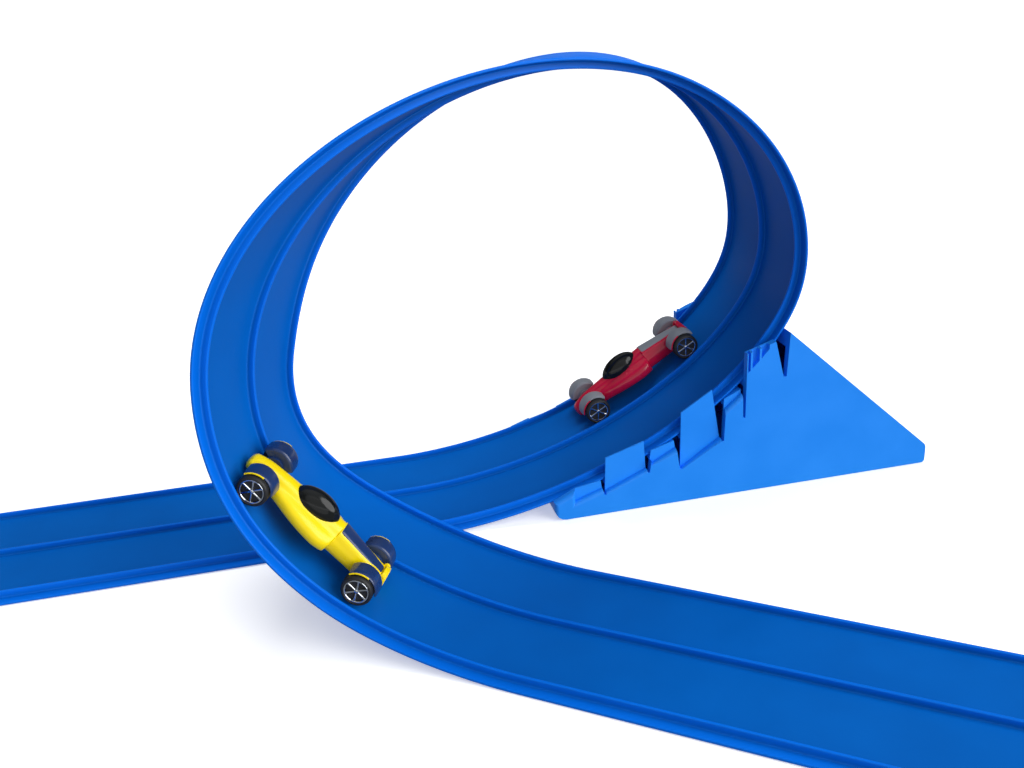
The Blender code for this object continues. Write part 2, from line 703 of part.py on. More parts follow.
def build_car(path, name, climb, across, paint, trim, shared):
    middle = path.distance_of(climb)
    frame = car_frame(path, middle, across)
    pivot = bpy.data.objects.new(name + "_travel_axis", None)
    bpy.context.collection.objects.link(pivot)
    pivot.matrix_basis = travel_axis(path, middle, across)

    add_node(name + "_body_shell", body_mesh(), paint, frame, pivot)
    add_node(name + "_chassis", chassis_mesh(), trim, frame, pivot)
    add_node(name + "_canopy", canopy_mesh(), shared["canopy"], frame, pivot)
    add_node(name + "_engine_cover", cover_mesh(), trim, frame, pivot)
    for end, axle_x in (("front", WHEELBASE / 2.0), ("rear", -WHEELBASE / 2.0)):
        spin = frame @ Matrix.Translation((axle_x, 0.0, WHEEL_RADIUS))
        add_node(f"{name}_{end}_axle", axle_mesh(), shared["steel"], spin, pivot, True)
        for side, sign in (("left", 1.0), ("right", -1.0)):
            out = Matrix.Translation((0.0, sign * (car_half_width() - TYRE_WIDTH / 2.0), 0.0))
            face = Matrix.Rotation(0.0 if sign > 0.0 else math.pi, 4, "Z")
            label = f"{name}_{end}_{side}"
            add_node(label + "_tyre", moved(tyre_mesh(), out), shared["rubber"], spin, pivot, True)
            add_node(label + "_hub", moved(hub_mesh(), out @ face), shared["chrome"], spin, pivot, True)


def centre_on_floor():
    """Shift everything so that the origin lies on the floor under the middle of the bounds."""
    bpy.context.view_layer.update()
    nodes = [item for item in bpy.data.objects if item.type == "MESH"]
    corners = np.array([item.matrix_world @ v.co for item in nodes for v in item.data.vertices])
    low = corners.min(axis=0)
    high = corners.max(axis=0)
    shift = Vector((-(low[0] + high[0]) / 2.0, -(low[1] + high[1]) / 2.0, -low[2]))
    for item in bpy.data.objects:
        if item.parent is None:
            item.location += shift
    bpy.context.view_layer.update()


def main():
    clear_scene()
    path = Path()
    blue = material("track_blue", (0.0, 0.11, 0.52), 0.30)
    light_blue = material("wedge_blue", (0.03, 0.27, 0.92), 0.35)
    yellow = material("yellow_paint", (0.91, 0.68, 0.0), 0.20)
    red = material("red_paint", (0.40, 0.008, 0.026), 0.20)
    navy = material("navy_trim", (0.013, 0.032, 0.115), 0.35)
    grey = material("grey_trim", (0.155, 0.175, 0.20), 0.35)
    shared = {
        "canopy": material("black_canopy", (0.006, 0.006, 0.007), 0.06),
        "rubber": material("black_tyre", (0.012, 0.012, 0.013), 0.55),
        "chrome": material("chrome_hub", (0.80, 0.80, 0.82), 0.15, 1.0),
        "steel": material("axle_steel", (0.55, 0.55, 0.57), 0.30, 1.0),
    }
    build_track(path, blue)
    build_wedge(path, light_blue)
    build_car(path, "yellow_car", YELLOW_CAR_ANGLE, -lane_centre(), yellow, navy, shared)
    build_car(path, "red_car", RED_CAR_ANGLE, lane_centre(), red, grey, shared)
    centre_on_floor()


main()
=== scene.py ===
# %% [markdown]
# A toy race track: one long blue plastic strip with two lanes, bent up into a leaning loop.
# A lighter blue wedge holds the strip where it starts to climb, and two small cars stand in
# the lanes. This lesson dresses the measured solids of that toy. Each step says what a piece
# is on the real toy, how it could be made, and why it is made this way here.

# %% Load the fixed frame
import json
import math

import bmesh
import bpy
import numpy as np
from mathutils import Matrix, Vector


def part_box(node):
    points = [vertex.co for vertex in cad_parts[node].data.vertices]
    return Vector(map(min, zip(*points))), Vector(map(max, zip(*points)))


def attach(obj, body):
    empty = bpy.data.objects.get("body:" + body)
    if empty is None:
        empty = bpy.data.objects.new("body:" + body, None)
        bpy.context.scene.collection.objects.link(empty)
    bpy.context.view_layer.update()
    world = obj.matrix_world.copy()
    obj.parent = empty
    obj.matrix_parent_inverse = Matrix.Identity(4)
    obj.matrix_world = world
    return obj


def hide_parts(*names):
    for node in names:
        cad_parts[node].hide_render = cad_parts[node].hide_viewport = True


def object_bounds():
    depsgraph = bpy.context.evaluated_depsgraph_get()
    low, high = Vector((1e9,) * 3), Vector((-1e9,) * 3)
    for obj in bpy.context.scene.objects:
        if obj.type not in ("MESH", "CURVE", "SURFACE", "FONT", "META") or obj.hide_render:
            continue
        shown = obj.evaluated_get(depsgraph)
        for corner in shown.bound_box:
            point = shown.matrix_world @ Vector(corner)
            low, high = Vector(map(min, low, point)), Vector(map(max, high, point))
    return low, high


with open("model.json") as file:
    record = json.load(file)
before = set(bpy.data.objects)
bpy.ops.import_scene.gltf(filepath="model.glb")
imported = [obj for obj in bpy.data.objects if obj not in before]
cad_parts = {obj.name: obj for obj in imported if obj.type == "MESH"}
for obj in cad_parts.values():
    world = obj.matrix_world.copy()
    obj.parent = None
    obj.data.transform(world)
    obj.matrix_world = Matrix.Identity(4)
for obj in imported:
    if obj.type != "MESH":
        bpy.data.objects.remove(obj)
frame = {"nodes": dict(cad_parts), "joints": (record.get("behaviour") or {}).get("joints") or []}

for spare in ("Cube", "Light", "Camera"):
    if spare in bpy.data.objects:
        bpy.data.objects.remove(bpy.data.objects[spare])
cad_low, cad_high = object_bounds()
MM = 0.001
print("solids", len(frame["nodes"]), "box in mm", [round(side / MM, 1) for side in cad_high - cad_low])

# %% [markdown]
# The camera stands at the eye of the photograph: about 27 cm above the table, looking down
# by 19 degrees and a little to the right, with a slight roll. The lens could be guessed, but
# it was solved from the edges of the strip, so the render lies over the photograph.

# %% Camera
EYE = Vector((-0.07339, -0.37107, 0.27075))
LOOK_RIGHT = math.radians(12.6658)
LOOK_DOWN = math.radians(19.3625)
EYE_ROLL = math.radians(-2.5068)
LENS_MM = 36.33
FRAME_DROP = -0.0628
NEAREST = 10.0 * MM


def add_object(name, data):
    item = bpy.data.objects.new(name, data)
    bpy.context.scene.collection.objects.link(item)
    return item


def eye_matrix():
    """Turn and place of the camera, from its heading, its dip and its roll."""
    right = Vector((math.cos(LOOK_RIGHT), -math.sin(LOOK_RIGHT), 0.0))
    level = Vector((math.sin(LOOK_RIGHT), math.cos(LOOK_RIGHT), 0.0))
    ahead = level * math.cos(LOOK_DOWN) - Vector((0.0, 0.0, math.sin(LOOK_DOWN)))
    up = right.cross(ahead)
    rolled_right = right * math.cos(EYE_ROLL) + up * math.sin(EYE_ROLL)
    rolled_up = up * math.cos(EYE_ROLL) - right * math.sin(EYE_ROLL)
    matrix = Matrix((rolled_right, rolled_up, -ahead)).transposed().to_4x4()
    matrix.translation = EYE
    return matrix


camera = add_object("photo_camera", bpy.data.cameras.new("photo_camera"))
camera.data.lens = LENS_MM
camera.data.shift_y = FRAME_DROP
camera.data.clip_start = NEAREST
camera.matrix_world = eye_matrix()
bpy.context.scene.camera = camera
print("camera at", [round(value, 3) for value in camera.location])

# %% [markdown]
# The photograph shows the toy on pure white, yet its colours are deep and its undersides dark:
# the white doesn't shine back at it. A lamp close by would let the far table fall into grey, so
# the key light from the right and front is a sun with a wide disc, equally strong everywhere,
# and a weaker one fills from the front. A soft lamp above the back of the loop lifts its edges.

# %% Suns and lamp
SUNS = (
    {"name": "key_sun", "from": Vector((0.70, -0.62, 0.40)), "strength": 2.8, "disc": 55.0},
    {"name": "fill_sun", "from": Vector((-0.20, -0.95, 0.25)), "strength": 0.55, "disc": 70.0},
)
TOP_LAMP = {"spot": (0.15, 0.45, 1.10), "size": 0.6, "watts": 6.0}


def lamp(name, kind, spot, target):
    """Light that stands at a spot and shines on a target."""
    item = add_object(name, bpy.data.lights.new(name, kind))
    item.location = spot
    item.rotation_euler = (target - item.location).to_track_quat("-Z", "Y").to_euler()
    return item


toy_middle = (cad_low + cad_high) / 2.0
for sun in SUNS:
    sun_light = lamp(sun["name"], "SUN", toy_middle + sun["from"], toy_middle).data
    sun_light.energy = sun["strength"]
    sun_light.angle = math.radians(sun["disc"])
top_lamp = lamp("top_lamp", "AREA", TOP_LAMP["spot"], toy_middle)
top_lamp.data.energy = TOP_LAMP["watts"]
top_lamp.data.size = TOP_LAMP["size"]
top_lamp.visible_glossy = False

# %% [markdown]
# The sky gives the rest of the light. One even grey would do for the undersides, but the flat
# lanes mirror the sky low behind them, and they are deep in colour. So the sky is bright overhead
# and dark lower down. A thin white band on the horizon makes the top of the loop shine, and what
# comes from below is a dim glow. The eye itself sees none of that: where a view looks past the
# table, the backdrop is plain white.

# %% Sky and backdrop
FLOOR_GLOW = (0.28, 0.30, 0.32)
HORIZON = (0.90, 0.92, 0.95)
LOW_SKY = (0.055, 0.060, 0.065)
HIGH_SKY = (0.62, 0.65, 0.68)
SKY_STOPS = ((0.0, FLOOR_GLOW), (0.5, FLOOR_GLOW), (0.505, HORIZON), (0.535, HORIZON), (0.56, LOW_SKY),
             (0.76, LOW_SKY), (1.0, HIGH_SKY))
BACKDROP = (1.0, 1.0, 1.0, 1.0)


def dim_sky():
    """World that is graded by height for the toy, and white for the eye."""
    sky = bpy.data.worlds.new("dim_sky")
    sky.use_nodes = True
    nodes, links = sky.node_tree.nodes, sky.node_tree.links
    gaze = nodes.new("ShaderNodeSeparateXYZ")
    links.new(nodes.new("ShaderNodeTexCoord").outputs["Generated"], gaze.inputs["Vector"])
    height = nodes.new("ShaderNodeMapRange")
    height.inputs["From Min"].default_value = -1.0
    links.new(gaze.outputs["Z"], height.inputs["Value"])
    fade = nodes.new("ShaderNodeValToRGB")
    for level, colour in SKY_STOPS[1:-1]:
        fade.color_ramp.elements.new(level)
    for stop, (level, colour) in zip(fade.color_ramp.elements, SKY_STOPS):
        stop.position = level
        stop.color = (*colour, 1.0)
    links.new(height.outputs["Result"], fade.inputs["Fac"])
    backdrop = nodes.new("ShaderNodeMix")
    backdrop.data_type = "RGBA"
    backdrop.inputs["B"].default_value = BACKDROP
    links.new(nodes.new("ShaderNodeLightPath").outputs["Is Camera Ray"], backdrop.inputs["Factor"])
    links.new(fade.outputs["Color"], backdrop.inputs["A"])
    links.new(backdrop.outputs["Result"], nodes["Background"].inputs["Color"])
    return sky


bpy.context.scene.world = dim_sky()
bpy.context.scene.view_settings.view_transform = "Standard"
print("sky stops", len(SKY_STOPS))

# %% [markdown]
# Every finish is a small tree of nodes around one shader. Moulded plastic is never one flat
# colour: the pigment drifts a little, the gloss changes from patch to patch and the skin has
# a fine grain. A picture could carry that, but noise on the piece's own coordinates needs no
# picture, has no seams and keeps its scale on every piece.

# %% Node helpers
NOISE_MIDDLE = (0.3, 0.7)
GRAIN_HEIGHT = 0.01 * MM


def blank_finish(name):
    """New material with its nodes, its links and its shader."""
    made = bpy.data.materials.new(name)
    made.use_nodes = True
    tree = made.node_tree
    return made, tree.nodes, tree.links, tree.nodes["Principled BSDF"]


def noise(nodes, links, vector, scale, detail=3.0):
    cloud = nodes.new("ShaderNodeTexNoise")
    cloud.inputs["Scale"].default_value = scale
    cloud.inputs["Detail"].default_value = detail
    links.new(vector, cloud.inputs["Vector"])
    return cloud.outputs["Fac"]


def spread(nodes, links, value, low, high):
    """Stretch the middle of a noise over a range of numbers."""
    ranged = nodes.new("ShaderNodeMapRange")
    labels = ("From Min", "From Max", "To Min", "To Max")
    for label, number in zip(labels, (*NOISE_MIDDLE, low, high)):
        ranged.inputs[label].default_value = number
    links.new(value, ranged.inputs["Value"])
    return ranged.outputs["Result"]


def tints(nodes, links, value, first, second):
    """Run a noise from one pigment to another."""
    ramp = nodes.new("ShaderNodeValToRGB")
    for stop, level, colour in zip(ramp.color_ramp.elements, NOISE_MIDDLE, (first, second)):
        stop.position = level
        stop.color = (*colour, 1.0)
    links.new(value, ramp.inputs["Fac"])
    return ramp.outputs["Color"]


def skin(nodes, links, shader, height, strength):
    """Let a noise stand up from the surface as a fine relief."""
    bump = nodes.new("ShaderNodeBump")
    bump.inputs["Strength"].default_value = strength
    bump.inputs["Distance"].default_value = GRAIN_HEIGHT
    links.new(height, bump.inputs["Height"])
    links.new(bump.outputs["Normal"], shader.inputs["Normal"])


# %% [markdown]
# The finishes share one recipe with different numbers: two pigments, a range of gloss, the size
# of the patches and of the grain. Paint also gets a clear coat, chrome and steel are metal. Each
# number that holds all over a surface sits on the shader's own socket.

# %% Finishes of the toy
COAT_ROUGHNESS = 0.06
PATCH_DETAIL = 4.0
SKIN_STRENGTH = 0.5
FINISHES = {}


def finish(name, first, second, rough, patch=60.0, grain=900.0, metallic=0.0, coat=0.0, sheen=0.5):
    """Shader between two pigments, with gloss in patches and a fine skin."""
    made, nodes, links, shader = blank_finish(name)
    shader.inputs["Metallic"].default_value = metallic
    shader.inputs["Coat Weight"].default_value = coat
    shader.inputs["Specular IOR Level"].default_value = sheen
    shader.inputs["Coat Roughness"].default_value = COAT_ROUGHNESS
    lie = nodes.new("ShaderNodeTexCoord").outputs["Object"]
    patches = noise(nodes, links, lie, patch, PATCH_DETAIL)
    links.new(tints(nodes, links, patches, first, second), shader.inputs["Base Color"])
    links.new(spread(nodes, links, patches, *rough), shader.inputs["Roughness"])
    skin(nodes, links, shader, noise(nodes, links, lie, grain), SKIN_STRENGTH)
    FINISHES[name] = made


finish("wedge_blue", (0.006, 0.240, 0.90), (0.009, 0.262, 0.95), (0.34, 0.44), 45.0, 1500.0, sheen=0.4)
finish("yellow_paint", (0.97, 0.72, 0.0), (1.0, 0.76, 0.0), (0.24, 0.34), coat=0.12, sheen=0.35)
finish("red_paint", (0.56, 0.003, 0.037), (0.62, 0.005, 0.045), (0.20, 0.30), coat=0.4, sheen=0.35)
finish("navy_trim", (0.010, 0.030, 0.108), (0.015, 0.040, 0.138), (0.24, 0.34), coat=0.3)
finish("grey_trim", (0.215, 0.23, 0.255), (0.25, 0.265, 0.29), (0.34, 0.46))
finish("black_canopy", (0.004, 0.005, 0.005), (0.009, 0.010, 0.010), (0.10, 0.18), sheen=0.32)
finish("black_tyre", (0.009, 0.009, 0.010), (0.014, 0.014, 0.015), (0.48, 0.60))
finish("chrome_hub", (0.52, 0.55, 0.59), (0.60, 0.63, 0.67), (0.12, 0.20), metallic=1.0)
finish("axle_steel", (0.50, 0.50, 0.52), (0.58, 0.58, 0.60), (0.26, 0.36), metallic=1.0)
finish("white_table", (0.94, 0.94, 0.94), (0.95, 0.95, 0.95), (0.8, 0.9), 3.0, 60.0, sheen=0.0)
print("finishes", len(FINISHES))

# %% [markdown]
# The table is only the stage: one wide white sheet just under the toy. It glows a little, as a
# light table does, so the shadows on it stay pale, and the toy neither mirrors it nor gets its
# light back: the dim glow of the sky's lower half stands in for it.

# %% Table
MERGE = 0.001 * MM
TABLE_HALF = 30.0
TABLE_DROP = 0.2 * MM
TABLE_WHITE = (1.0, 1.0, 1.0, 1.0)
TABLE_GLOW = 0.42


def mesh_of(name, vertices, faces, finish_name):
    """Plain mesh with merged doubles and outward faces."""
    mesh = bpy.data.meshes.new(name)
    mesh.from_pydata([tuple(vertex) for vertex in vertices], [], faces)
    work = bmesh.new()
    work.from_mesh(mesh)
    bmesh.ops.remove_doubles(work, verts=work.verts, dist=MERGE)
    bmesh.ops.recalc_face_normals(work, faces=work.faces)
    work.to_mesh(mesh)
    work.free()
    mesh.materials.append(FINISHES[finish_name])
    return mesh


corner_signs = ((-1, -1), (1, -1), (1, 1), (-1, 1))
table_corners = [(x * TABLE_HALF, y * TABLE_HALF, -TABLE_DROP) for x, y in corner_signs]
table = add_object("table", mesh_of("table", table_corners, [(0, 1, 2, 3)], "white_table"))
table_shader = FINISHES["white_table"].node_tree.nodes["Principled BSDF"]
table_shader.inputs["Emission Color"].default_value = TABLE_WHITE
table_shader.inputs["Emission Strength"].default_value = TABLE_GLOW
table.visible_diffuse = False
table.visible_glossy = False
table.visible_shadow = False
print("table side in m", 2.0 * TABLE_HALF)

# %% [markdown]
# The strip is extruded: one section, with a flange, a rail, two lanes and a divider, runs
# along the whole length. It lies flat, climbs into the loop, leans over and comes down on
# its other side. A curve could be drawn by hand, but the centre line follows the same rule as
# the solids: the radius of bend is a mean radius times a few waves of the climb angle, with a
# lean and a twist on top.

# %% Centre line of the loop
FLOOR_THICKNESS = 1.35 * MM
LOOP_RADIUS = 133.2 * MM
LOOP_COSINES = (0.1593, 0.4819, 0.1939, 0.1200)
LOOP_SINES = (0.0, 0.2385, 0.0708, 0.1909)
TURN_OUT = math.radians(-36.5)
TURN_START = math.radians(263.3)
LEAN = math.radians(-14.2)
LEAN_SPAN = (math.radians(100.0), math.radians(330.0))
TWIST = math.radians(21.5)
TWIST_SWAP = math.radians(-18.0)
CLIMB_STEPS = 1440


def loop_line():
    """Points, tangents and normals of the lane floor over one whole climb."""
    climb = np.linspace(0.0, 2.0 * math.pi, CLIMB_STEPS + 1)
    bend = np.ones(len(climb))
    for order, (cosine, sine) in enumerate(zip(LOOP_COSINES, LOOP_SINES), start=1):
        bend += cosine * np.cos(order * climb) + sine * np.sin(order * climb)
    turn = np.clip((climb - TURN_START) / (2.0 * math.pi - TURN_START), 0.0, 1.0)
    heading = TURN_OUT * (1.0 - np.cos(math.pi * turn)) / 2.0
    share = np.clip((climb - LEAN_SPAN[0]) / (LEAN_SPAN[1] - LEAN_SPAN[0]), 0.0, 1.0)
    bulge = np.sin(math.pi * share)
    lean = (LEAN * bulge**2)[:, None]
    twist = (TWIST * bulge**2 + TWIST_SWAP * bulge * np.sin(2.0 * math.pi * share))[:, None]

    up = np.array([0.0, 0.0, 1.0])
    ahead = np.stack([np.cos(heading), np.sin(heading), 0.0 * heading], axis=1)
    across = np.stack([-np.sin(heading), np.cos(heading), 0.0 * heading], axis=1)
    slope = climb[:, None]
    rise = np.cos(slope) * ahead + np.sin(slope) * up
    flat_normal = np.cos(slope) * up - np.sin(slope) * ahead
    tangent = np.cos(lean) * rise + np.sin(lean) * across
    side = np.cos(lean) * across - np.sin(lean) * rise
    normal = np.cos(twist) * flat_normal - np.sin(twist) * side

    speed = LOOP_RADIUS * bend[:, None] / np.cos(lean) * tangent
    steps = (speed[1:] + speed[:-1]) / 2.0 * (climb[1] - climb[0])
    point = np.concatenate([np.zeros((1, 3)), np.cumsum(steps, axis=0)])
    point[:, 2] -= point[-1, 2] * (climb - np.sin(climb)) / (2.0 * math.pi)
    point[:, 2] += FLOOR_THICKNESS
    return point, tangent, normal


print("loop height in mm", round(loop_line()[0][:, 2].max() / MM, 1))

# %% [markdown]
# Before and after the loop the strip runs straight on the table. These leads could be pieces of
# their own, but the real strip is one length, so their points join the loop's in one line. The
# line is then moved to where the solids lie: its start to the strip's end, its middle to the
# wedge's.

# %% Whole line of the strip
LEAD_IN = 230.0 * MM
LEAD_OUT = 205.0 * MM
LEAD_STEP = 6.0 * MM
STATION_EVERY = 4

wedge_low, wedge_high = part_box("loop_wedge")
wedge_middle = (wedge_low.y + wedge_high.y) / 2.0


def whole_line():
    """Points of the strip with both leads, and the direction above the lanes at each."""
    point, tangent, normal = (row[::STATION_EVERY] for row in loop_line())
    before = np.arange(round(LEAD_IN / LEAD_STEP), 0, -1)[:, None] * LEAD_STEP
    before *= LEAD_IN / before[0]
    after = np.arange(1, round(LEAD_OUT / LEAD_STEP) + 1)[:, None] * LEAD_STEP
    after *= LEAD_OUT / after[-1]
    line = np.concatenate([point[0] - before * tangent[0], point, point[-1] + after * tangent[-1]])
    first = np.repeat(normal[:1], len(before), axis=0)
    last = np.repeat(normal[-1:], len(after), axis=0)
    line[:, 0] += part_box("flexible_track")[0].x + LEAD_IN
    line[:, 1] += wedge_middle
    return line, np.concatenate([first, normal, last])


strip_line, strip_above = whole_line()
strip_run = np.concatenate([[0.0], np.cumsum(np.linalg.norm(np.diff(strip_line, axis=0), axis=1))])
print("strip length in mm", round(strip_run[-1] / MM, 1), "stations", len(strip_line))

# %% [markdown]
# Geometry Nodes makes what follows a path and what repeats. Each tree here has named inputs. It
# is run on a simple object, the result is kept as a plain mesh, and the modifier goes away again,
# so that nothing is left to work out when a car moves. A path or a section is a chain of edges
# whose points carry numbers of their own.

# %% Tree helpers
def start_tree(name, *inputs):
    """New geometry tree with named inputs and a finish, and its first node."""
    tree = bpy.data.node_groups.new(name, "GeometryNodeTree")
    for label, kind in (("Geometry", "Geometry"), *inputs, ("Finish", "Material")):
        tree.interface.new_socket(label, in_out="INPUT", socket_type="NodeSocket" + kind)
    tree.interface.new_socket("Geometry", in_out="OUTPUT", socket_type="NodeSocketGeometry")
    return tree, tree.nodes.new("NodeGroupInput")


def end_tree(tree, start, shape):
    """Make instances real, give the shape its finish and hand it out."""
    real = tree.nodes.new("GeometryNodeRealizeInstances")
    coat = tree.nodes.new("GeometryNodeSetMaterial")
    link = tree.links.new
    link(shape, real.inputs["Geometry"])
    link(real.outputs["Geometry"], coat.inputs["Geometry"])
    link(start.outputs["Finish"], coat.inputs["Material"])
    link(coat.outputs["Geometry"], tree.nodes.new("NodeGroupOutput").inputs["Geometry"])
    return tree


def grown(name, base, tree, values):
    """Run a tree on an object and keep the result as a plain mesh piece."""
    modifier = base.modifiers.new("grow", "NODES")
    modifier.node_group = tree
    for socket in tree.interface.items_tree:
        if socket.in_out == "INPUT" and socket.name in values:
            modifier[socket.identifier] = values[socket.name]
    graph = bpy.context.evaluated_depsgraph_get()
    mesh = bpy.data.meshes.new_from_object(base.evaluated_get(graph))
    mesh.name = name
    base.modifiers.remove(modifier)
    bpy.data.objects.remove(base)
    return add_object(name, mesh)


# %% Chain helpers
def in_a_row(count, first=0):
    """Edges that join points one after the other."""
    return [(index, index + 1) for index in range(first, first + count - 1)]


def in_a_ring(count):
    return in_a_row(count) + [(count - 1, 0)]


def chain(name, points, edges, **values):
    """Object of points and edges, with one number or vector per point for each named value."""
    mesh = bpy.data.meshes.new(name)
    mesh.from_pydata([tuple(point) for point in points], edges, [])
    for label, numbers in values.items():
        numbers = np.asarray(numbers, dtype=np.float32)
        kind, key = ("FLOAT", "value") if numbers.ndim == 1 else ("FLOAT_VECTOR", "vector")
        mesh.attributes.new(label, kind, "POINT").data.foreach_set(key, numbers.ravel())
    return add_object(name, mesh)


# %% [markdown]
# A sweep could be skinned ring by ring in Python. Geometry Nodes does it in one node: Curve
# to Mesh carries a section along a curve. The points of the path hold the direction that counts
# as up, so the twist of the strip comes from the rule and not from Blender's own guess. The same
# tree later bends the thin lips around the cars' fenders.

# %% Sweep tree
def sweep_tree():
    tree, start = start_tree("sweep_section", ("Section", "Object"))
    route = tree.nodes.new("GeometryNodeMeshToCurve")
    above = tree.nodes.new("GeometryNodeInputNamedAttribute")
    above.data_type = "FLOAT_VECTOR"
    above.inputs["Name"].default_value = "above"
    upright = tree.nodes.new("GeometryNodeSetCurveNormal")
    upright.mode = "FREE"
    source = tree.nodes.new("GeometryNodeObjectInfo")
    outline = tree.nodes.new("GeometryNodeMeshToCurve")
    swept = tree.nodes.new("GeometryNodeCurveToMesh")
    swept.inputs["Fill Caps"].default_value = True
    link = tree.links.new
    link(start.outputs["Geometry"], route.inputs["Mesh"])
    link(route.outputs["Curve"], upright.inputs["Curve"])
    link(above.outputs["Attribute"], upright.inputs["Normal"])
    link(start.outputs["Section"], source.inputs["Object"])
    link(source.outputs["Geometry"], outline.inputs["Mesh"])
    link(upright.outputs["Curve"], swept.inputs["Curve"])
    link(outline.outputs["Curve"], swept.inputs["Profile Curve"])
    return end_tree(tree, start, swept.outputs["Mesh"])


SWEEP = sweep_tree()
print("sweep tree nodes", len(SWEEP.nodes))

# %% [markdown]
# The section needs round edges: light catches every rail as a thin bright line. A bevel on the
# finished strip would round its ends too, so the arcs go into the outline. Each corner gets a
# small arc, and each long flat gets an extra point close to each end, so the smooth shading of the
# arcs doesn't bleed into the flat lanes. Each point also carries a painted highlight: how much
# paler blue is painted there, most on the edges and rail tops, none on the lanes.

# %% Arc in a corner
ARC_STEPS = 3


def arc_corner(before, corner, after, radius):
    """Points of a small arc that rounds one corner of an outline."""
    before, corner, after = (Vector(point) for point in (before, corner, after))
    first = (before - corner).normalized()
    second = (after - corner).normalized()
    half = first.angle(second) / 2.0
    reach = radius / math.tan(half)
    middle = corner + (first + second).normalized() * radius / math.sin(half)
    start = corner + first * reach - middle
    end = corner + second * reach - middle
    return [middle + start.lerp(end, step / ARC_STEPS).normalized() * radius for step in range(ARC_STEPS + 1)]


# %% Section of the strip
TRACK_WIDTH = 90.0 * MM
FLANGE = 5.0 * MM
RAIL = (1.5 * MM, 3.3 * MM)
DIVIDER = (1.8 * MM, 3.3 * MM)
EDGE_ROUND = 0.5 * MM
ROOT_ROUND = 0.6 * MM
GUARD = 0.4 * MM
LONG_FLAT = 6.0 * GUARD


def section_corners():
    """Sharp corners of the section: across, above, their round and the painted highlight there."""
    edge = TRACK_WIDTH / 2.0
    rail_out = edge - FLANGE
    rail_in = rail_out - RAIL[0]
    middle = DIVIDER[0] / 2.0
    # The fourth number is how much painted highlight a corner gets: full on edges and rail tops.
    half = [(edge, -FLOOR_THICKNESS, EDGE_ROUND, 1.0), (edge, 0.0, EDGE_ROUND, 1.0)]
    half += [(rail_out, 0.0, ROOT_ROUND, 0.4), (rail_out, RAIL[1], EDGE_ROUND, 1.0)]
    half += [(rail_in, RAIL[1], EDGE_ROUND, 1.0), (rail_in, 0.0, ROOT_ROUND, 0.0)]
    half += [(middle, 0.0, ROOT_ROUND, 0.0), (middle, DIVIDER[1], EDGE_ROUND, 0.8)]
    return half + [(-u, v, radius, thin) for u, v, radius, thin in reversed(half)]


def strip_section():
    """Rounded outline as (across, above, painted highlight)."""
    corners = section_corners()
    outline = []
    for index, (u, v, radius, thin) in enumerate(corners):
        before = corners[index - 1][:2]
        after = corners[(index + 1) % len(corners)][:2]
        arc = arc_corner(before, (u, v), after, radius)
        for neighbour, near in ((before, arc[0]), (after, arc[-1])):
            flat = Vector(neighbour) - near
            extra = [near + flat.normalized() * GUARD] if flat.length > LONG_FLAT else []
            arc = extra + arc if neighbour is before else arc + extra
        outline += [(point.x, point.y, thin) for point in arc]
    return outline


section_points = strip_section()
print("section points", len(section_points))

# %% [markdown]
# The blue of the strip is a hard, half glossy plastic. The die leaves faint lines along its
# length, and the lanes carry a soft haze of wear. The edges and rail tops get a painted highlight,
# a paler blue. Plain noise would run across the bends, so it is stretched along the strip by the
# piece's own attributes.

# %% Blue of the strip
STRIP_DEEP = (0.0, 0.109, 0.462)
STRIP_BRIGHT = (0.0, 0.119, 0.497)
# A paler blue painted on the edges and rail tops as a highlight.
STRIP_HIGHLIGHT_PAINT = (0.0, 0.150, 0.74)
STRIP_SHEEN = 0.11
STRIP_ROUGH = (0.38, 0.48)
HAZE_SCALE = 35.0
HAZE_DETAIL = 2.0
DIE_LINES = {"stretch": (1.0, 0.05, 1.0), "scale": 900.0, "detail": 1.0, "strength": 0.3}


def strip_finish():
    made, nodes, links, shader = blank_finish("track_blue")
    shader.inputs["Specular IOR Level"].default_value = STRIP_SHEEN

    def reading(label):
        node = nodes.new("ShaderNodeAttribute")
        node.attribute_name = label
        return node.outputs["Fac"]

    lie = nodes.new("ShaderNodeCombineXYZ")
    links.new(reading("across"), lie.inputs["X"])
    links.new(reading("along"), lie.inputs["Y"])
    drawn = nodes.new("ShaderNodeMapping")
    drawn.inputs["Scale"].default_value = DIE_LINES["stretch"]
    links.new(lie.outputs["Vector"], drawn.inputs["Vector"])
    lines = noise(nodes, links, drawn.outputs["Vector"], DIE_LINES["scale"], DIE_LINES["detail"])
    place = nodes.new("ShaderNodeTexCoord").outputs["Object"]
    haze = noise(nodes, links, place, HAZE_SCALE, HAZE_DETAIL)

    # The paler blue mixed in here is a painted highlight on the edges and rail tops.
    tint_and_highlight = nodes.new("ShaderNodeMix")
    tint_and_highlight.data_type = "RGBA"
    links.new(reading("thin"), tint_and_highlight.inputs["Factor"])
    links.new(tints(nodes, links, haze, STRIP_DEEP, STRIP_BRIGHT), tint_and_highlight.inputs["A"])
    tint_and_highlight.inputs["B"].default_value = (*STRIP_HIGHLIGHT_PAINT, 1.0)
    links.new(tint_and_highlight.outputs["Result"], shader.inputs["Base Color"])
    links.new(spread(nodes, links, haze, *STRIP_ROUGH), shader.inputs["Roughness"])
    skin(nodes, links, shader, lines, DIE_LINES["strength"])
    return made


FINISHES["track_blue"] = strip_finish()
print("strip finish nodes", len(FINISHES["track_blue"].node_tree.nodes))

# %% [markdown]
# Now the tree runs: the section goes along the line, and the mesh that comes out is turned right
# side out and shaded smooth with its sharp edges kept. Every finished piece is then hung on the
# body that it moves with, and takes the place of its plain solid.

# %% Sweep the strip
SHARP_ANGLE = math.radians(35.0)


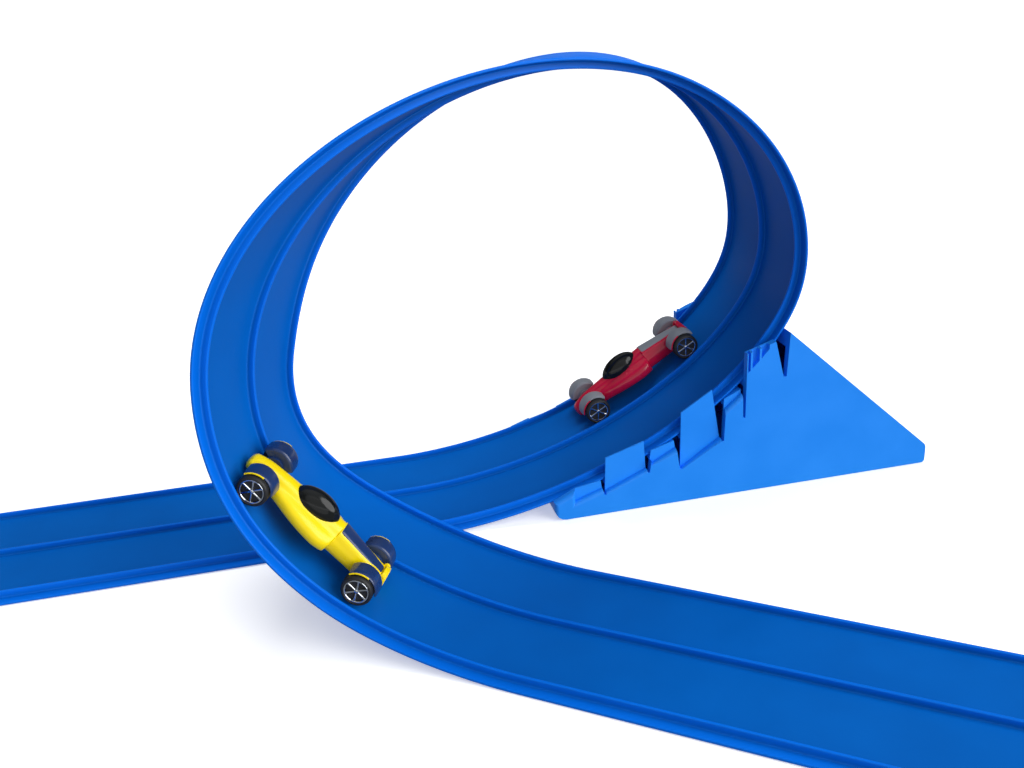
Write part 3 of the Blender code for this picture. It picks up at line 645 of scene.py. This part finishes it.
def smooth(mesh):
    mesh.shade_smooth()
    mesh.set_sharp_from_angle(angle=SHARP_ANGLE)


def outward(mesh):
    """Turn a closed mesh right side out if its volume comes out negative."""
    work = bmesh.new()
    work.from_mesh(mesh)
    if work.calc_volume(signed=True) < 0.0:
        bmesh.ops.reverse_faces(work, faces=work.faces)
        work.to_mesh(mesh)
    work.free()


def hang(piece, body, slot, *nodes):
    """Hang a piece on its body and let it stand for its solids. The slot is not used."""
    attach(piece, body)
    if nodes:
        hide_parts(*nodes)
    print(piece.name, "faces", len(piece.data.polygons))


# Each point of the section carries its share of painted highlight.
section = chain("strip_section", [(v, -u, 0.0) for u, v, thin in section_points],
                in_a_ring(len(section_points)), across=[u for u, v, thin in section_points],
                thin=[thin for u, v, thin in section_points])
strip_path = chain("strip_path", strip_line, in_a_row(len(strip_line)), above=strip_above, along=strip_run)
strip = grown("flexible_strip", strip_path, SWEEP, {"Section": section, "Finish": FINISHES["track_blue"]})
bpy.data.objects.remove(section)
outward(strip.data)
smooth(strip.data)
hang(strip, "track", "track_blue", "flexible_track")

# %% [markdown]
# The wedge is a moulded shell in a lighter blue. Its tabs grip the strip and stand back behind
# a round shoulder. The solid has that shape with knife edges, so a copy of it is softened. First
# come the helpers that find its parts: the shoulders below the tabs, and the first tabs on the
# far side, which are sunk level with the strip because nothing of them shows in front.

# %% Far tabs of the wedge
FAR_TAB_SPAN = (50.0 * MM, 140.0 * MM)
FAR_TAB_RISE = 0.2 * MM


def lower_far_tabs(work):
    """Sink the first tabs on the far side to the level of the strip."""
    climb_end = np.argmax(np.diff(strip_line[:, 0]) < 0.0)
    for vertex in work.verts:
        far = vertex.co.y - wedge_middle > TRACK_WIDTH / 2.0
        if far and FAR_TAB_SPAN[0] < vertex.co.x < FAR_TAB_SPAN[1]:
            floor = np.interp(vertex.co.x, strip_line[:climb_end, 0], strip_line[:climb_end, 2])
            vertex.co.z = min(vertex.co.z, floor + FAR_TAB_RISE)


# %% Shoulders of the wedge
TOUCH = 0.01 * MM
LEDGE_DEPTH = (1.0 * MM, 4.0 * MM)
LEDGE_FACING = 0.5
HEEL_LENGTH = 14.0 * MM


def away(vertex):
    """Distance from the wedge's middle plane."""
    return abs(vertex.co.y - wedge_middle)


def panel_edges(work, outer):
    """Edges of the side panels, each with the face on its other side."""
    for edge in work.edges:
        if not edge.is_manifold:
            continue
        sides = sorted(edge.link_faces, key=lambda face: -abs(face.normal.y))
        if min(away(vertex) for vertex in sides[0].verts) > outer - TOUCH:
            yield edge, sides[1]


def shoulder_edges(work, outer):
    """Edges where a side panel ends below a tab, in a ledge, or at the heel."""
    heel = min(vertex.co.x for vertex in work.verts) + HEEL_LENGTH
    found = []
    for edge, other in panel_edges(work, outer):
        depth = outer - min(away(vertex) for vertex in other.verts)
        ledge = other.normal.z > LEDGE_FACING and LEDGE_DEPTH[0] < depth < LEDGE_DEPTH[1]
        at_heel = max(vertex.co.x for vertex in edge.verts) < heel and other.normal.z > -LEDGE_FACING
        if ledge or at_heel:
            found.append(edge)
    return found


# %% [markdown]
# A Bevel modifier would round every edge by the same width. Here the copy is merged and its flat
# faces are joined up again, the side panels grow a little outwards to deepen the shoulder, the
# shoulder and the heel get a wide round bevel and every other edge a fine one. A wide bevel can
# pull a corner out of its panel, so the two panels are made flat again.

# %% Softened wedge
WEDGE_MERGE = 0.002 * MM
FLAT_ANGLE = math.radians(0.3)
PANEL_GROWTH = 1.6 * MM
PANEL_FACING = 0.9
SHOULDER_BEVEL = (2.4 * MM, 6)
EDGE_BEVEL = (0.4 * MM, 2)
EDGE_ANGLE = math.radians(24.0)


def set_away(vertex, distance):
    """Move a point straight out or in to a distance from the middle plane."""
    vertex.co.y = wedge_middle + math.copysign(distance, vertex.co.y - wedge_middle)


def bevelled(work, edges, size, clamp):
    width, segments = size
    bmesh.ops.bevel(work, geom=edges, offset=width, segments=segments, profile=0.5,
                    affect="EDGES", clamp_overlap=clamp)


def softened_wedge():
    """Copy of the wedge's solid with its shoulders and edges rounded."""
    work = bmesh.new()
    work.from_mesh(frame["nodes"]["loop_wedge"].data)
    bmesh.ops.remove_doubles(work, verts=work.verts, dist=WEDGE_MERGE)
    bmesh.ops.dissolve_limit(work, angle_limit=FLAT_ANGLE, verts=work.verts, edges=work.edges)
    lower_far_tabs(work)
    outer = max(away(vertex) for vertex in work.verts) + PANEL_GROWTH
    for vertex in work.verts:
        if away(vertex) > outer - PANEL_GROWTH - TOUCH:
            set_away(vertex, outer)
    work.normal_update()
    shoulders = shoulder_edges(work, outer)
    print("shoulder edges", len(shoulders))
    bevelled(work, shoulders, SHOULDER_BEVEL, clamp=False)
    sides = [face for face in work.faces if abs(face.normal.y) > PANEL_FACING]
    for panel in sorted(sides, key=lambda face: -face.calc_area())[:2]:
        for vertex in panel.verts:
            set_away(vertex, outer)
    work.normal_update()
    sharp = [edge for edge in work.edges if edge.calc_face_angle(0.0) > EDGE_ANGLE]
    bevelled(work, sharp, EDGE_BEVEL, clamp=True)
    mesh = bpy.data.meshes.new("loop_wedge_shell")
    work.to_mesh(mesh)
    work.free()
    return mesh


wedge = add_object("loop_wedge_shell", softened_wedge())
wedge.data.materials.append(FINISHES["wedge_blue"])

# %% [markdown]
# Plain smooth shading would let the light of each round edge run far into the panels. Weighted
# normals let the big faces lead. The upright flats then get their own normal up to their edges,
# so a panel reads as one flat sheet of plastic.

# %% Shading of the wedge
FLAT_FACING = 0.999


def shade_evenly(item):
    """Let big faces lead the shading, and every upright flat keep its own normal."""
    even = item.modifiers.new("even_shading", "WEIGHTED_NORMAL")
    even.keep_sharp = True
    graph = bpy.context.evaluated_depsgraph_get()
    item.data = bpy.data.meshes.new_from_object(item.evaluated_get(graph))
    item.modifiers.clear()
    normals = [corner.vector.copy() for corner in item.data.corner_normals]
    for flat in item.data.polygons:
        if abs(flat.normal.y) > FLAT_FACING:
            for corner in flat.loop_indices:
                normals[corner] = flat.normal.copy()
    item.data.normals_split_custom_set(normals)


smooth(wedge.data)
shade_evenly(wedge)
hang(wedge, "track", "wedge_blue", "loop_wedge")

# %% [markdown]
# Both cars are the same small die-cast model in two colours. Each piece could be drawn where it
# stands, tilted in its lane, but it is easier in the car's own frame, in millimetres: X forward,
# Y to the left, Z up from the ground between the axles. That frame is read from the axles of the
# measured model.

# %% Car frames
WHEEL_RADIUS = 7.0
WHEELBASE = 60.0
CAR_HALF_WIDTH = 16.5
CARS = (("yellow_car", "yellow_paint", "navy_trim"), ("red_car", "red_paint", "grey_trim"))
AXLES = (("front", WHEELBASE / 2.0), ("rear", -WHEELBASE / 2.0))
SIDES = (("left", 1.0), ("right", -1.0))
WHEELS = [(end, axle_x, hand, side) for end, axle_x in AXLES for hand, side in SIDES]


def car_matrix(car):
    """Car frame to world, with millimetres made metres."""
    joints = {joint["name"]: joint for joint in frame["joints"]}
    front = joints[car + "_front_wheels_spin"]
    rear = joints[car + "_rear_wheels_spin"]
    forward = (Vector(front["pos_m"]) - Vector(rear["pos_m"])).normalized()
    left = Vector(front["axis"]).normalized()
    up = forward.cross(left)
    matrix = Matrix((forward, left, up)).transposed().to_4x4()
    middle = (Vector(front["pos_m"]) + Vector(rear["pos_m"])) / 2.0
    matrix.translation = middle - up * WHEEL_RADIUS * MM
    return matrix @ Matrix.Scale(MM, 4)


CAR_FRAMES = {car: car_matrix(car) for car, paint, trim in CARS}
for car in CAR_FRAMES:
    print(car, "stands at", [round(value, 4) for value in CAR_FRAMES[car].translation])

# %% [markdown]
# Most pieces of a car are skinned over rings of points or turned about an axle, as on a lathe.
# Blender's Screw modifier turns a profile too, but it leaves the ends of a part turn open. These
# few lines close them, and the merge in mesh_of closes the poles.

# %% Skin and turn
def around(count, shift=0.0):
    """Angles in equal steps around a circle."""
    return 2.0 * math.pi * (np.arange(count) + shift) / count


def skinned(name, rings, finish_name):
    """Skin rings of equal count into one closed shell."""
    count = len(rings[0])
    faces = [tuple(range(count)), tuple(range((len(rings) - 1) * count, len(rings) * count))]
    for row in range(len(rings) - 1):
        for column in range(count):
            after = (column + 1) % count
            a, b = row * count + column, row * count + after
            faces.append((a, b, b + count, a + count))
    return mesh_of(name, [point for ring in rings for point in ring], faces, finish_name)


def turned(name, profile, steps, finish_name, start=0.0, end=360.0):
    """Turn a closed profile of (radius, y) points about Y, all the way or over an arc."""
    whole = abs(end - start) >= 360.0
    rings = []
    for step in range(steps if whole else steps + 1):
        angle = math.radians(start + (end - start) * step / steps)
        rings.append([(r * math.cos(angle), y, r * math.sin(angle)) for r, y in profile])
    if not whole:
        return skinned(name, rings, finish_name)
    count = len(profile)
    faces = []
    for row in range(steps):
        here, there = row * count, (row + 1) % steps * count
        for column in range(count):
            right = (column + 1) % count
            faces.append((here + column, here + right, there + right, there + column))
    return mesh_of(name, [point for ring in rings for point in ring], faces, finish_name)


# %% Join and stand on a car
def joined(name, meshes):
    """Put several meshes of one finish into one piece."""
    work = bmesh.new()
    for mesh in meshes:
        work.from_mesh(mesh)
    whole = bpy.data.meshes.new(name)
    work.to_mesh(whole)
    work.free()
    whole.materials.append(meshes[0].materials[0])
    return whole


def on_car(car, name, mesh, body, slot, *nodes):
    """Stand a mesh drawn in the car's frame on its car."""
    mesh.transform(CAR_FRAMES[car])
    smooth(mesh)
    hang(add_object(name, mesh), body, slot, *nodes)


# %% [markdown]
# A body like this could be sculpted, but its shape follows a few rules. Across, it is a low
# wide form, the side pods, blended with a narrow tall one, the ridge that carries the canopy.
# Along, both swell and taper over a handful of stations. Behind the canopy the pods end in a
# small step. Rings of points on that rule are skinned into one closed shell.

# %% Stations of the body
# X, then half width and height of the pods, of the ridge, and depth below the centre
BODY_STATIONS = (
    (-36.9, 4.2, 3.0, 3.6, 3.6, 3.0),
    (-36.0, 5.0, 3.8, 4.3, 4.6, 3.6),
    (-34.0, 5.4, 4.4, 4.7, 5.3, 4.1),
    (-24.0, 5.7, 5.0, 5.0, 6.3, 4.3),
    (-14.0, 6.1, 5.2, 5.3, 7.4, 4.4),
    (-9.3, 6.6, 5.2, 5.5, 7.9, 4.4),
    (-8.5, 9.8, 5.2, 5.8, 8.3, 4.8),
    (-7.0, 10.8, 5.1, 6.0, 8.2, 4.9),
    (-2.0, 11.8, 5.0, 6.2, 7.7, 5.0),
    (5.0, 11.2, 4.8, 6.2, 7.2, 5.0),
    (12.0, 9.8, 4.4, 5.8, 6.7, 4.9),
    (18.0, 8.0, 3.9, 5.2, 6.4, 4.7),
    (24.0, 6.5, 3.5, 4.7, 6.0, 4.5),
    (31.0, 5.6, 3.1, 4.3, 5.3, 4.3),
    (36.0, 4.7, 2.7, 3.6, 4.1, 4.0),
    (38.5, 3.9, 2.2, 3.0, 3.1, 3.5),
    (39.4, 2.7, 1.4, 2.0, 2.0, 2.4),
    (39.7, 1.3, 0.7, 1.0, 1.0, 1.2),
)


def eased(knots, rows, x):
    """Monotone cubic through stations: no overshoot, so a step stays crisp."""
    index = int(np.clip(np.searchsorted(knots, x) - 1, 0, len(knots) - 2))
    secant = np.diff(rows, axis=0) / np.diff(knots)[:, None]
    slopes = np.zeros_like(rows)
    same = secant[1:] * secant[:-1] > 0.0
    total = secant[1:] + secant[:-1]
    slopes[1:-1][same] = (2.0 * secant[1:] * secant[:-1])[same] / total[same]
    slopes[0], slopes[-1] = secant[0], secant[-1]
    span = knots[index + 1] - knots[index]
    t = (x - knots[index]) / span
    start = (2 * t**3 - 3 * t**2 + 1) * rows[index] + (t**3 - 2 * t**2 + t) * span * slopes[index]
    return start + (3 * t**2 - 2 * t**3) * rows[index + 1] + (t**3 - t**2) * span * slopes[index + 1]


print("body length in mm", BODY_STATIONS[-1][0] - BODY_STATIONS[0][0])

# %% Rings of the body
BODY_CENTRE = 7.0
RING_COUNT = 90
RING_POINTS = 64
STEP_X = -8.9
STEP_RINGS = np.arange(-9.2, -6.9, 0.2)
POD_SQUARENESS = 2.6
RIDGE_SQUARENESS = 2.4
DECK_SQUARENESS = 4.2
PINCH = 14.0


def oval_reach(turn, half_width, rise, drop, power):
    """Distance from the centre to a squared oval of unlike height above and below."""
    height = np.where(np.sin(turn) > 0.0, rise, drop)
    sum_of = (np.abs(np.cos(turn)) / half_width) ** power + (np.abs(np.sin(turn)) / height) ** power
    return sum_of ** (-1.0 / power)


def ring_at(x, centre, reach, turn):
    """Points of one ring across the car, from their distances to its centre."""
    return [(x, r * math.cos(a), centre + r * math.sin(a)) for r, a in zip(reach, turn)]


def body_rings():
    """Rings of pods and ridge: the larger leads, with a tight blend where they meet."""
    stations = np.array(BODY_STATIONS)
    knots, rows = stations[:, 0], stations[:, 1:]
    even = np.linspace(knots[0], knots[-1], RING_COUNT)
    turn = around(RING_POINTS, 0.5)
    rings = []
    for x in np.unique(np.concatenate([even, STEP_RINGS, knots]).round(3)):
        pod, pod_rise, ridge, ridge_rise, drop = eased(knots, rows, x)
        low = oval_reach(turn, pod, pod_rise, drop, POD_SQUARENESS)
        squareness = DECK_SQUARENESS if x < STEP_X else RIDGE_SQUARENESS
        high = oval_reach(turn, ridge, ridge_rise, drop, squareness)
        reach = (low**PINCH + high**PINCH) ** (1.0 / PINCH)
        rings.append(ring_at(x, BODY_CENTRE, reach, turn))
    return rings


print("body rings", len(body_rings()))

# %% [markdown]
# The tail ends in a flat oval disc that leans back, with a low rim, and two small upright
# corners stand beside the end of the engine cover. They could be pieces of their own, but on the
# real car they are cast with the body, so they join its shell. The disc is turned and then tilted.

# %% Tail and painted shell
TAIL_DISC = (
    (0.0, 0.75), (3.8, 0.75), (4.0, 1.0), (4.6, 1.0), (4.9, 0.75), (4.9, -1.2), (4.5, -1.6), (0.0, -1.6),
)
TAIL_STEPS = 40
TAIL_STRETCH = Matrix.Diagonal((1.14, 1.0, 1.12, 1.0))
TAIL_PLACE = (-37.0, 0.0, 9.0)
TAIL_TILT = 16.0
CORNER_PLACE = (-35.0, 4.2, 11.6)
CORNER_HALF = (1.5, 0.8)
CORNER_LEVELS = ((-1.6, 1.0), (0.6, 1.0), (1.5, 0.75), (1.9, 0.35))
CORNER_POINTS = 12


def tail_disc(finish_name):
    disc = turned("tail_disc", TAIL_DISC, TAIL_STEPS, finish_name)
    level = Matrix.Rotation(math.radians(90.0), 4, "X") @ TAIL_STRETCH
    upright = Matrix.Rotation(math.radians(90.0 - TAIL_TILT), 4, "Y") @ level
    backward = Matrix.Rotation(math.radians(180.0), 4, "Z") @ upright
    disc.transform(Matrix.Translation(TAIL_PLACE) @ backward)
    return disc


def tail_corner(side, finish_name):
    x, y, z = CORNER_PLACE
    long, wide = CORNER_HALF
    rings = []
    for lift, size in CORNER_LEVELS:
        turns = around(CORNER_POINTS)
        oval = [(long * size * math.cos(turn), wide * size * math.sin(turn)) for turn in turns]
        rings.append([(x + ahead, side * y + beside, z + lift) for ahead, beside in oval])
    return skinned("tail_corner", rings, finish_name)


for car, paint, trim in CARS:
    shell = [skinned("shell", body_rings(), paint), tail_disc(paint)]
    shell += [tail_corner(side, paint) for hand, side in SIDES]
    on_car(car, car + "_painted_shell", joined("shell", shell), car, paint, car + "_body_shell")

# %% [markdown]
# The canopy is a black glossy dome, oval from above and a little steeper at its back. A stretched
# ball would meet the body in a thin edge, so its rings start with an upright foot that sinks into
# the body.

# %% Canopy
CANOPY = {"x": 6.0, "length": 22.6, "width": 11.0, "foot": 10.6, "sill": 12.4, "top": 19.8, "lean": -1.6}
CANOPY_LEVELS = 14
CANOPY_LAST = math.radians(88.5)
CANOPY_POINTS = 48


def canopy_dome():
    levels = [math.radians(90.0 * step / CANOPY_LEVELS) for step in range(CANOPY_LEVELS)] + [CANOPY_LAST]
    rise = CANOPY["top"] - CANOPY["sill"]
    sizes = [(1.0, CANOPY["foot"])]
    sizes += [(math.cos(level), CANOPY["sill"] + rise * math.sin(level)) for level in levels]
    rings = []
    for size, height in sizes:
        lean = CANOPY["lean"] * (height - CANOPY["foot"]) / (CANOPY["top"] - CANOPY["foot"])
        ring = []
        for turn in around(CANOPY_POINTS):
            x = CANOPY["x"] + lean + size * CANOPY["length"] / 2.0 * math.cos(turn)
            ring.append((x, size * CANOPY["width"] / 2.0 * math.sin(turn), height))
        rings.append(ring)
    return skinned("canopy", rings, "black_canopy")


print("canopy height in mm", round(CANOPY["top"] - CANOPY["sill"], 1))

# %% [markdown]
# The engine cover behind the canopy is a long lid with a crowned top and round edges, narrower
# towards the tail. A bevelled box would have an even edge all round. The real lid is softer on
# top, so it is skinned from squared ovals that shrink a little at both ends.

# %% Engine cover
LID = {"front": -9.3, "rear": -34.2, "widths": (8.2, 6.6), "tops": (15.2, 12.4), "rise": 1.5, "drop": 1.6}
LID_ENDS = [0.0, 0.004, 0.012, 0.025, 0.04]
LID_MIDDLE = list(np.linspace(0.08, 0.92, 12))
LID_SHRINK = 0.08
LID_SQUARENESS = 3.6
LID_POINTS = 40


def between(pair, share):
    return pair[0] + (pair[1] - pair[0]) * share


def engine_lid(finish_name):
    turn = around(LID_POINTS, 0.5)
    rings = []
    for share in LID_ENDS + LID_MIDDLE + [1.0 - end for end in reversed(LID_ENDS)]:
        x = LID["front"] - share * (LID["front"] - LID["rear"])
        near_end = min(min(share, 1.0 - share) / LID_ENDS[-1], 1.0)
        swell = math.sqrt(1.0 - (1.0 - near_end) ** 2) * LID_SHRINK + (1.0 - LID_SHRINK)
        half = swell * between(LID["widths"], share) / 2.0
        height = LID["rise"] * (2.0 * swell - 1.0)
        reach = oval_reach(turn, half, height, LID["drop"], LID_SQUARENESS)
        rings.append(ring_at(x, between(LID["tops"], share) - LID["rise"], reach, turn))
    return skinned("engine_lid", rings, finish_name)


for car, paint, trim in CARS:
    on_car(car, car + "_canopy_dome", canopy_dome(), car, "black_canopy", car + "_canopy")
    on_car(car, car + "_engine_lid", engine_lid(trim), car, trim, car + "_engine_cover")

# %% [markdown]
# The chassis is one moulding in the trim colour: a flat pan under the body and four fenders that
# arch over the tyres and reach in to the body. A bent plate would do for an arch, but the real one
# has a well rounded outer shoulder and a wall that closes it on the body's side. So a fender is
# turned from an L over part of a turn, which leaves the front and back of the tyre free. Behind
# the wheel a round web carries the axle.

# %% Profile of a fender
FENDER_IN = WHEEL_RADIUS + 0.45
FENDER_OUT = FENDER_IN + 1.1
FENDER_REACH = (6.3, CAR_HALF_WIDTH - 2.0)
FENDER_WALL = 1.0
WALL_FOOT = 2.0
OUTER_SHOULDER = (FENDER_OUT - FENDER_IN - 0.4, 3.4)
INNER_SHOULDER = (1.3, 1.3)
SHOULDER_STEPS = 8
FENDER_EASE = 0.2


def shoulder(turn, depth_and_width):
    """Height lost and way left on a quarter oval, from its foot at 0 to its top at 90 degrees."""
    depth, width = depth_and_width
    return depth * (1.0 - math.sin(turn)), width * (1.0 - math.cos(turn))


def fender_profile():
    """The L of a fender as (radius, y): up the wall, over both shoulders and back inside."""
    inner, outer = FENDER_REACH
    turns = [math.radians(90.0 * step / SHOULDER_STEPS) for step in range(SHOULDER_STEPS + 1)]
    profile = [(WALL_FOOT, inner)]
    for lost, way in (shoulder(turn, INNER_SHOULDER) for turn in turns):
        profile.append((FENDER_OUT - lost, inner + way))
    for lost, way in (shoulder(turn, OUTER_SHOULDER) for turn in reversed(turns[1:])):
        profile.append((FENDER_OUT - lost, outer - way))
    profile += [(FENDER_IN + FENDER_EASE, outer), (FENDER_IN, outer - FENDER_EASE)]
    profile += [(FENDER_IN, inner + FENDER_WALL), (WALL_FOOT, inner + FENDER_WALL)]
    return profile


print("fender profile points", len(fender_profile()))

# %% Fender with its web
FENDER_ARC = (22.0, 154.0)
FENDER_STEPS = 32
WEB = {"reach": (5.0, 7.2), "radius": 4.6, "ease": 0.4}


def web_profile():
    inner, outer = WEB["reach"]
    radius, ease = WEB["radius"], WEB["ease"]
    return [(0.0, inner), (radius, inner), (radius, outer - ease), (radius - ease, outer), (0.0, outer)]


def fender(side, axle_x, finish_name):
    arch_points = [(r, side * y) for r, y in fender_profile()]
    web_points = [(r, side * y) for r, y in web_profile()]
    arch = turned("fender", arch_points, FENDER_STEPS, finish_name, *FENDER_ARC)
    web = turned("web", web_points, FENDER_STEPS, finish_name)
    both = joined("fender", [arch, web])
    both.transform(Matrix.Translation((axle_x, 0.0, WHEEL_RADIUS)))
    return both


# %% [markdown]
# The pan is the flat floor of the car, hidden under the body. A plain plate would show a knife
# edge from below, so its outline is skinned in four layers, drawn in at the bottom and the top.

# %% Pan and chassis
PAN_HALF = [(35.5, 1.6), (32.0, 2.6), (20.0, 3.2), (8.0, 4.4), (-6.0, 4.6), (-10.0, 3.4), (-35.0, 3.0)]
PAN_LAYERS = ((0.5, 2.1), (0.0, 2.5), (0.0, 3.3), (0.3, 3.6))


def pan(finish_name):
    outline = PAN_HALF + [(x, -y) for x, y in reversed(PAN_HALF)]
    rings = []
    for shrink, z in PAN_LAYERS:
        rings.append([(x - math.copysign(shrink, x), y - math.copysign(shrink, y), z) for x, y in outline])
    return skinned("pan", rings, finish_name)


for car, paint, trim in CARS:
    parts = [pan(trim)] + [fender(side, axle_x, trim) for end, axle_x, hand, side in WHEELS]
    on_car(car, car + "_chassis_moulding", joined("chassis", parts), car, trim, car + "_chassis")

# %% [markdown]
# A thin lip in the body colour lines the front of each fender above the tyre. It is a round
# bead along an arc. It could be turned like the fender, but the sweep tree of the strip makes all
# four at once: the path holds four separate arcs.

# %% Fender lips
LIP_RADIUS = 0.36
LIP_ARC = (21.0, 88.0)
LIP_STEPS = 30
LIP_INSET = 0.25
BEAD_POINTS = 10


def lip_path():
    """One arc above each wheel, with the direction away from the axle at each point."""
    points, above, edges = [], [], []
    for end, axle_x, hand, side in WHEELS:
        centre = Vector((axle_x, side * FENDER_REACH[1], WHEEL_RADIUS))
        edges += in_a_row(LIP_STEPS + 1, len(points))
        for step in range(LIP_STEPS + 1):
            turn = math.radians(LIP_ARC[0] + (LIP_ARC[1] - LIP_ARC[0]) * step / LIP_STEPS)
            outwards = Vector((math.cos(turn), 0.0, math.sin(turn)))
            points.append(centre + outwards * (FENDER_IN + LIP_INSET))
            above.append(outwards)
    return chain("lip_path", points, edges, above=above)


circle = [(LIP_RADIUS * math.cos(turn), LIP_RADIUS * math.sin(turn), 0.0) for turn in around(BEAD_POINTS)]
for car, paint, trim in CARS:
    bead = chain("lip_bead", circle, in_a_ring(BEAD_POINTS))
    lips = grown(car + "_fender_lips", lip_path(), SWEEP, {"Section": bead, "Finish": FINISHES[paint]})
    bpy.data.objects.remove(bead)
    outward(lips.data)
    lips.data.transform(CAR_FRAMES[car])
    smooth(lips.data)
    hang(lips, car, paint)

# %% [markdown]
# A wheel is a black tyre with a dark dish, and a bright hub in front of the dish. A plain ring
# would look like a washer, so the tyre is turned from a profile with soft shoulders, two fine
# grooves in the tread and the dish.

# %% Tyres
TYRE_WIDTH = 6.0
TYRE_STEPS = 56
TYRE_PROFILE = (
    (0.0, 1.7), (5.45, 1.7), (5.6, 2.75), (5.9, 3.0), (6.3, 2.95), (6.7, 2.7), (6.95, 2.2), (7.0, 1.2),
    (6.85, 1.05), (6.85, 0.75), (7.0, 0.6), (7.0, -0.6), (6.85, -0.75), (6.85, -1.05), (7.0, -1.2),
    (6.95, -2.3), (6.7, -2.75), (6.3, -3.0), (1.3, -3.0), (1.3, -2.6), (0.0, -2.6),
)


def wheel_place(axle_x, side):
    """Wheel frame on the car: its outer face looks along +Y before it is set."""
    spin = Matrix.Rotation(0.0 if side > 0.0 else math.pi, 4, "Z")
    middle = side * (CAR_HALF_WIDTH - TYRE_WIDTH / 2.0)
    return Matrix.Translation((axle_x, middle, WHEEL_RADIUS)) @ spin


for car, paint, trim in CARS:
    for end, axle_x, hand, side in WHEELS:
        label = f"{car}_{end}_{hand}"
        tyre = turned("tyre", TYRE_PROFILE, TYRE_STEPS, "black_tyre")
        tyre.transform(wheel_place(axle_x, side))
        on_car(car, label + "_rubber", tyre, f"{car}_{end}_wheels", "black_tyre", label + "_tyre")

# %% [markdown]
# The hub is a thin bright rim with six slim spokes and a small cap. The spokes could be copied by
# hand, but they repeat, so Geometry Nodes sets them around the axle: a spoke is drawn once, set on
# the points of a circle and turned outwards by the angle of its point. In the tree the axle is Z.

# %% Hub tree
def hub_tree():
    tree, start = start_tree("spoked_hub", ("Spoke", "Object"), ("Spokes", "Int"), ("Spoke Foot", "Float"))
    ring = tree.nodes.new("GeometryNodeMeshCircle")
    source = tree.nodes.new("GeometryNodeObjectInfo")
    where = tree.nodes.new("GeometryNodeInputPosition")
    outwards = tree.nodes.new("FunctionNodeAlignRotationToVector")
    outwards.axis = "X"
    outwards.pivot_axis = "Z"
    spokes = tree.nodes.new("GeometryNodeInstanceOnPoints")
    every = tree.nodes.new("GeometryNodeJoinGeometry")
    link = tree.links.new
    link(start.outputs["Spokes"], ring.inputs["Vertices"])
    link(start.outputs["Spoke Foot"], ring.inputs["Radius"])
    link(start.outputs["Spoke"], source.inputs["Object"])
    link(where.outputs["Position"], outwards.inputs["Vector"])
    link(ring.outputs["Mesh"], spokes.inputs["Points"])
    link(source.outputs["Geometry"], spokes.inputs["Instance"])
    link(outwards.outputs["Rotation"], spokes.inputs["Rotation"])
    link(start.outputs["Geometry"], every.inputs["Geometry"])
    link(spokes.outputs["Instances"], every.inputs["Geometry"])
    return end_tree(tree, start, every.outputs["Geometry"])


HUB = hub_tree()
print("hub tree nodes", len(HUB.nodes))

# %% [markdown]
# Rim and cap are turned from their profiles, and a spoke is skinned over four stations with a
# crowned front, so that it catches the light along its middle. The tree puts them together, and
# the finished hub is tipped over, so that it looks out along the axle of its wheel.

# %% Hubs
SPOKES = 6
SPOKE_FOOT = 1.0
RIM_PROFILE = ((4.85, 2.0), (4.85, 2.55), (5.05, 2.8), (5.4, 2.85), (5.58, 2.65), (5.58, 2.0))
CAP_PROFILE = ((0.0, 2.75), (0.5, 2.72), (0.9, 2.55), (1.1, 2.2), (1.1, 1.75), (0.0, 1.75))
CAP_STEPS = 24
SPOKE_STATIONS = ((-0.2, 0.34, 2.45), (1.5, 0.36, 2.42), (3.0, 0.42, 2.5), (4.05, 0.55, 2.62))
SPOKE_BACK = 1.75
SPOKE_CROWN = 0.2
STAND_UP = Matrix.Rotation(math.radians(-90.0), 4, "X")


def spoke_mesh():
    """One slim spoke along X."""
    rings = []
    for reach, half, front in SPOKE_STATIONS:
        edge = front - SPOKE_CROWN
        outline = [(-half, SPOKE_BACK), (-half, edge), (-half / 2.0, front)]
        outline += [(-y, z) for y, z in reversed(outline)]
        rings.append([(reach, y, z) for y, z in outline])
    return skinned("spoke", rings, "chrome_hub")


for car, paint, trim in CARS:
    for end, axle_x, hand, side in WHEELS:
        label = f"{car}_{end}_{hand}"
        rim = turned("rim", RIM_PROFILE, TYRE_STEPS, "chrome_hub")
        cap = turned("cap", CAP_PROFILE, CAP_STEPS, "chrome_hub")
        rim_and_cap = joined("rim_and_cap", [rim, cap])
        rim_and_cap.transform(STAND_UP.inverted())
        spoke = add_object("spoke", spoke_mesh())
        values = {"Spoke": spoke, "Spokes": SPOKES, "Spoke Foot": SPOKE_FOOT,
                  "Finish": FINISHES["chrome_hub"]}
        hub = grown(label + "_spoked_hub", add_object("rim_and_cap", rim_and_cap), HUB, values)
        bpy.data.objects.remove(spoke)
        hub.data.transform(CAR_FRAMES[car] @ wheel_place(axle_x, side) @ STAND_UP)
        smooth(hub.data)
        hang(hub, f"{car}_{end}_wheels", "chrome_hub", label + "_hub")

# %% [markdown]
# The axles are plain steel pins, hidden between the wheels. They could be turned again, but their
# solids are right as they are, so they only get their finish.

# %% Axles
for car, paint, trim in CARS:
    for end, axle_x in AXLES:
        axle = frame["nodes"][f"{car}_{end}_axle"]
        axle.data.materials.clear()
        axle.data.materials.append(FINISHES["axle_steel"])
        print(axle.name, "in steel")
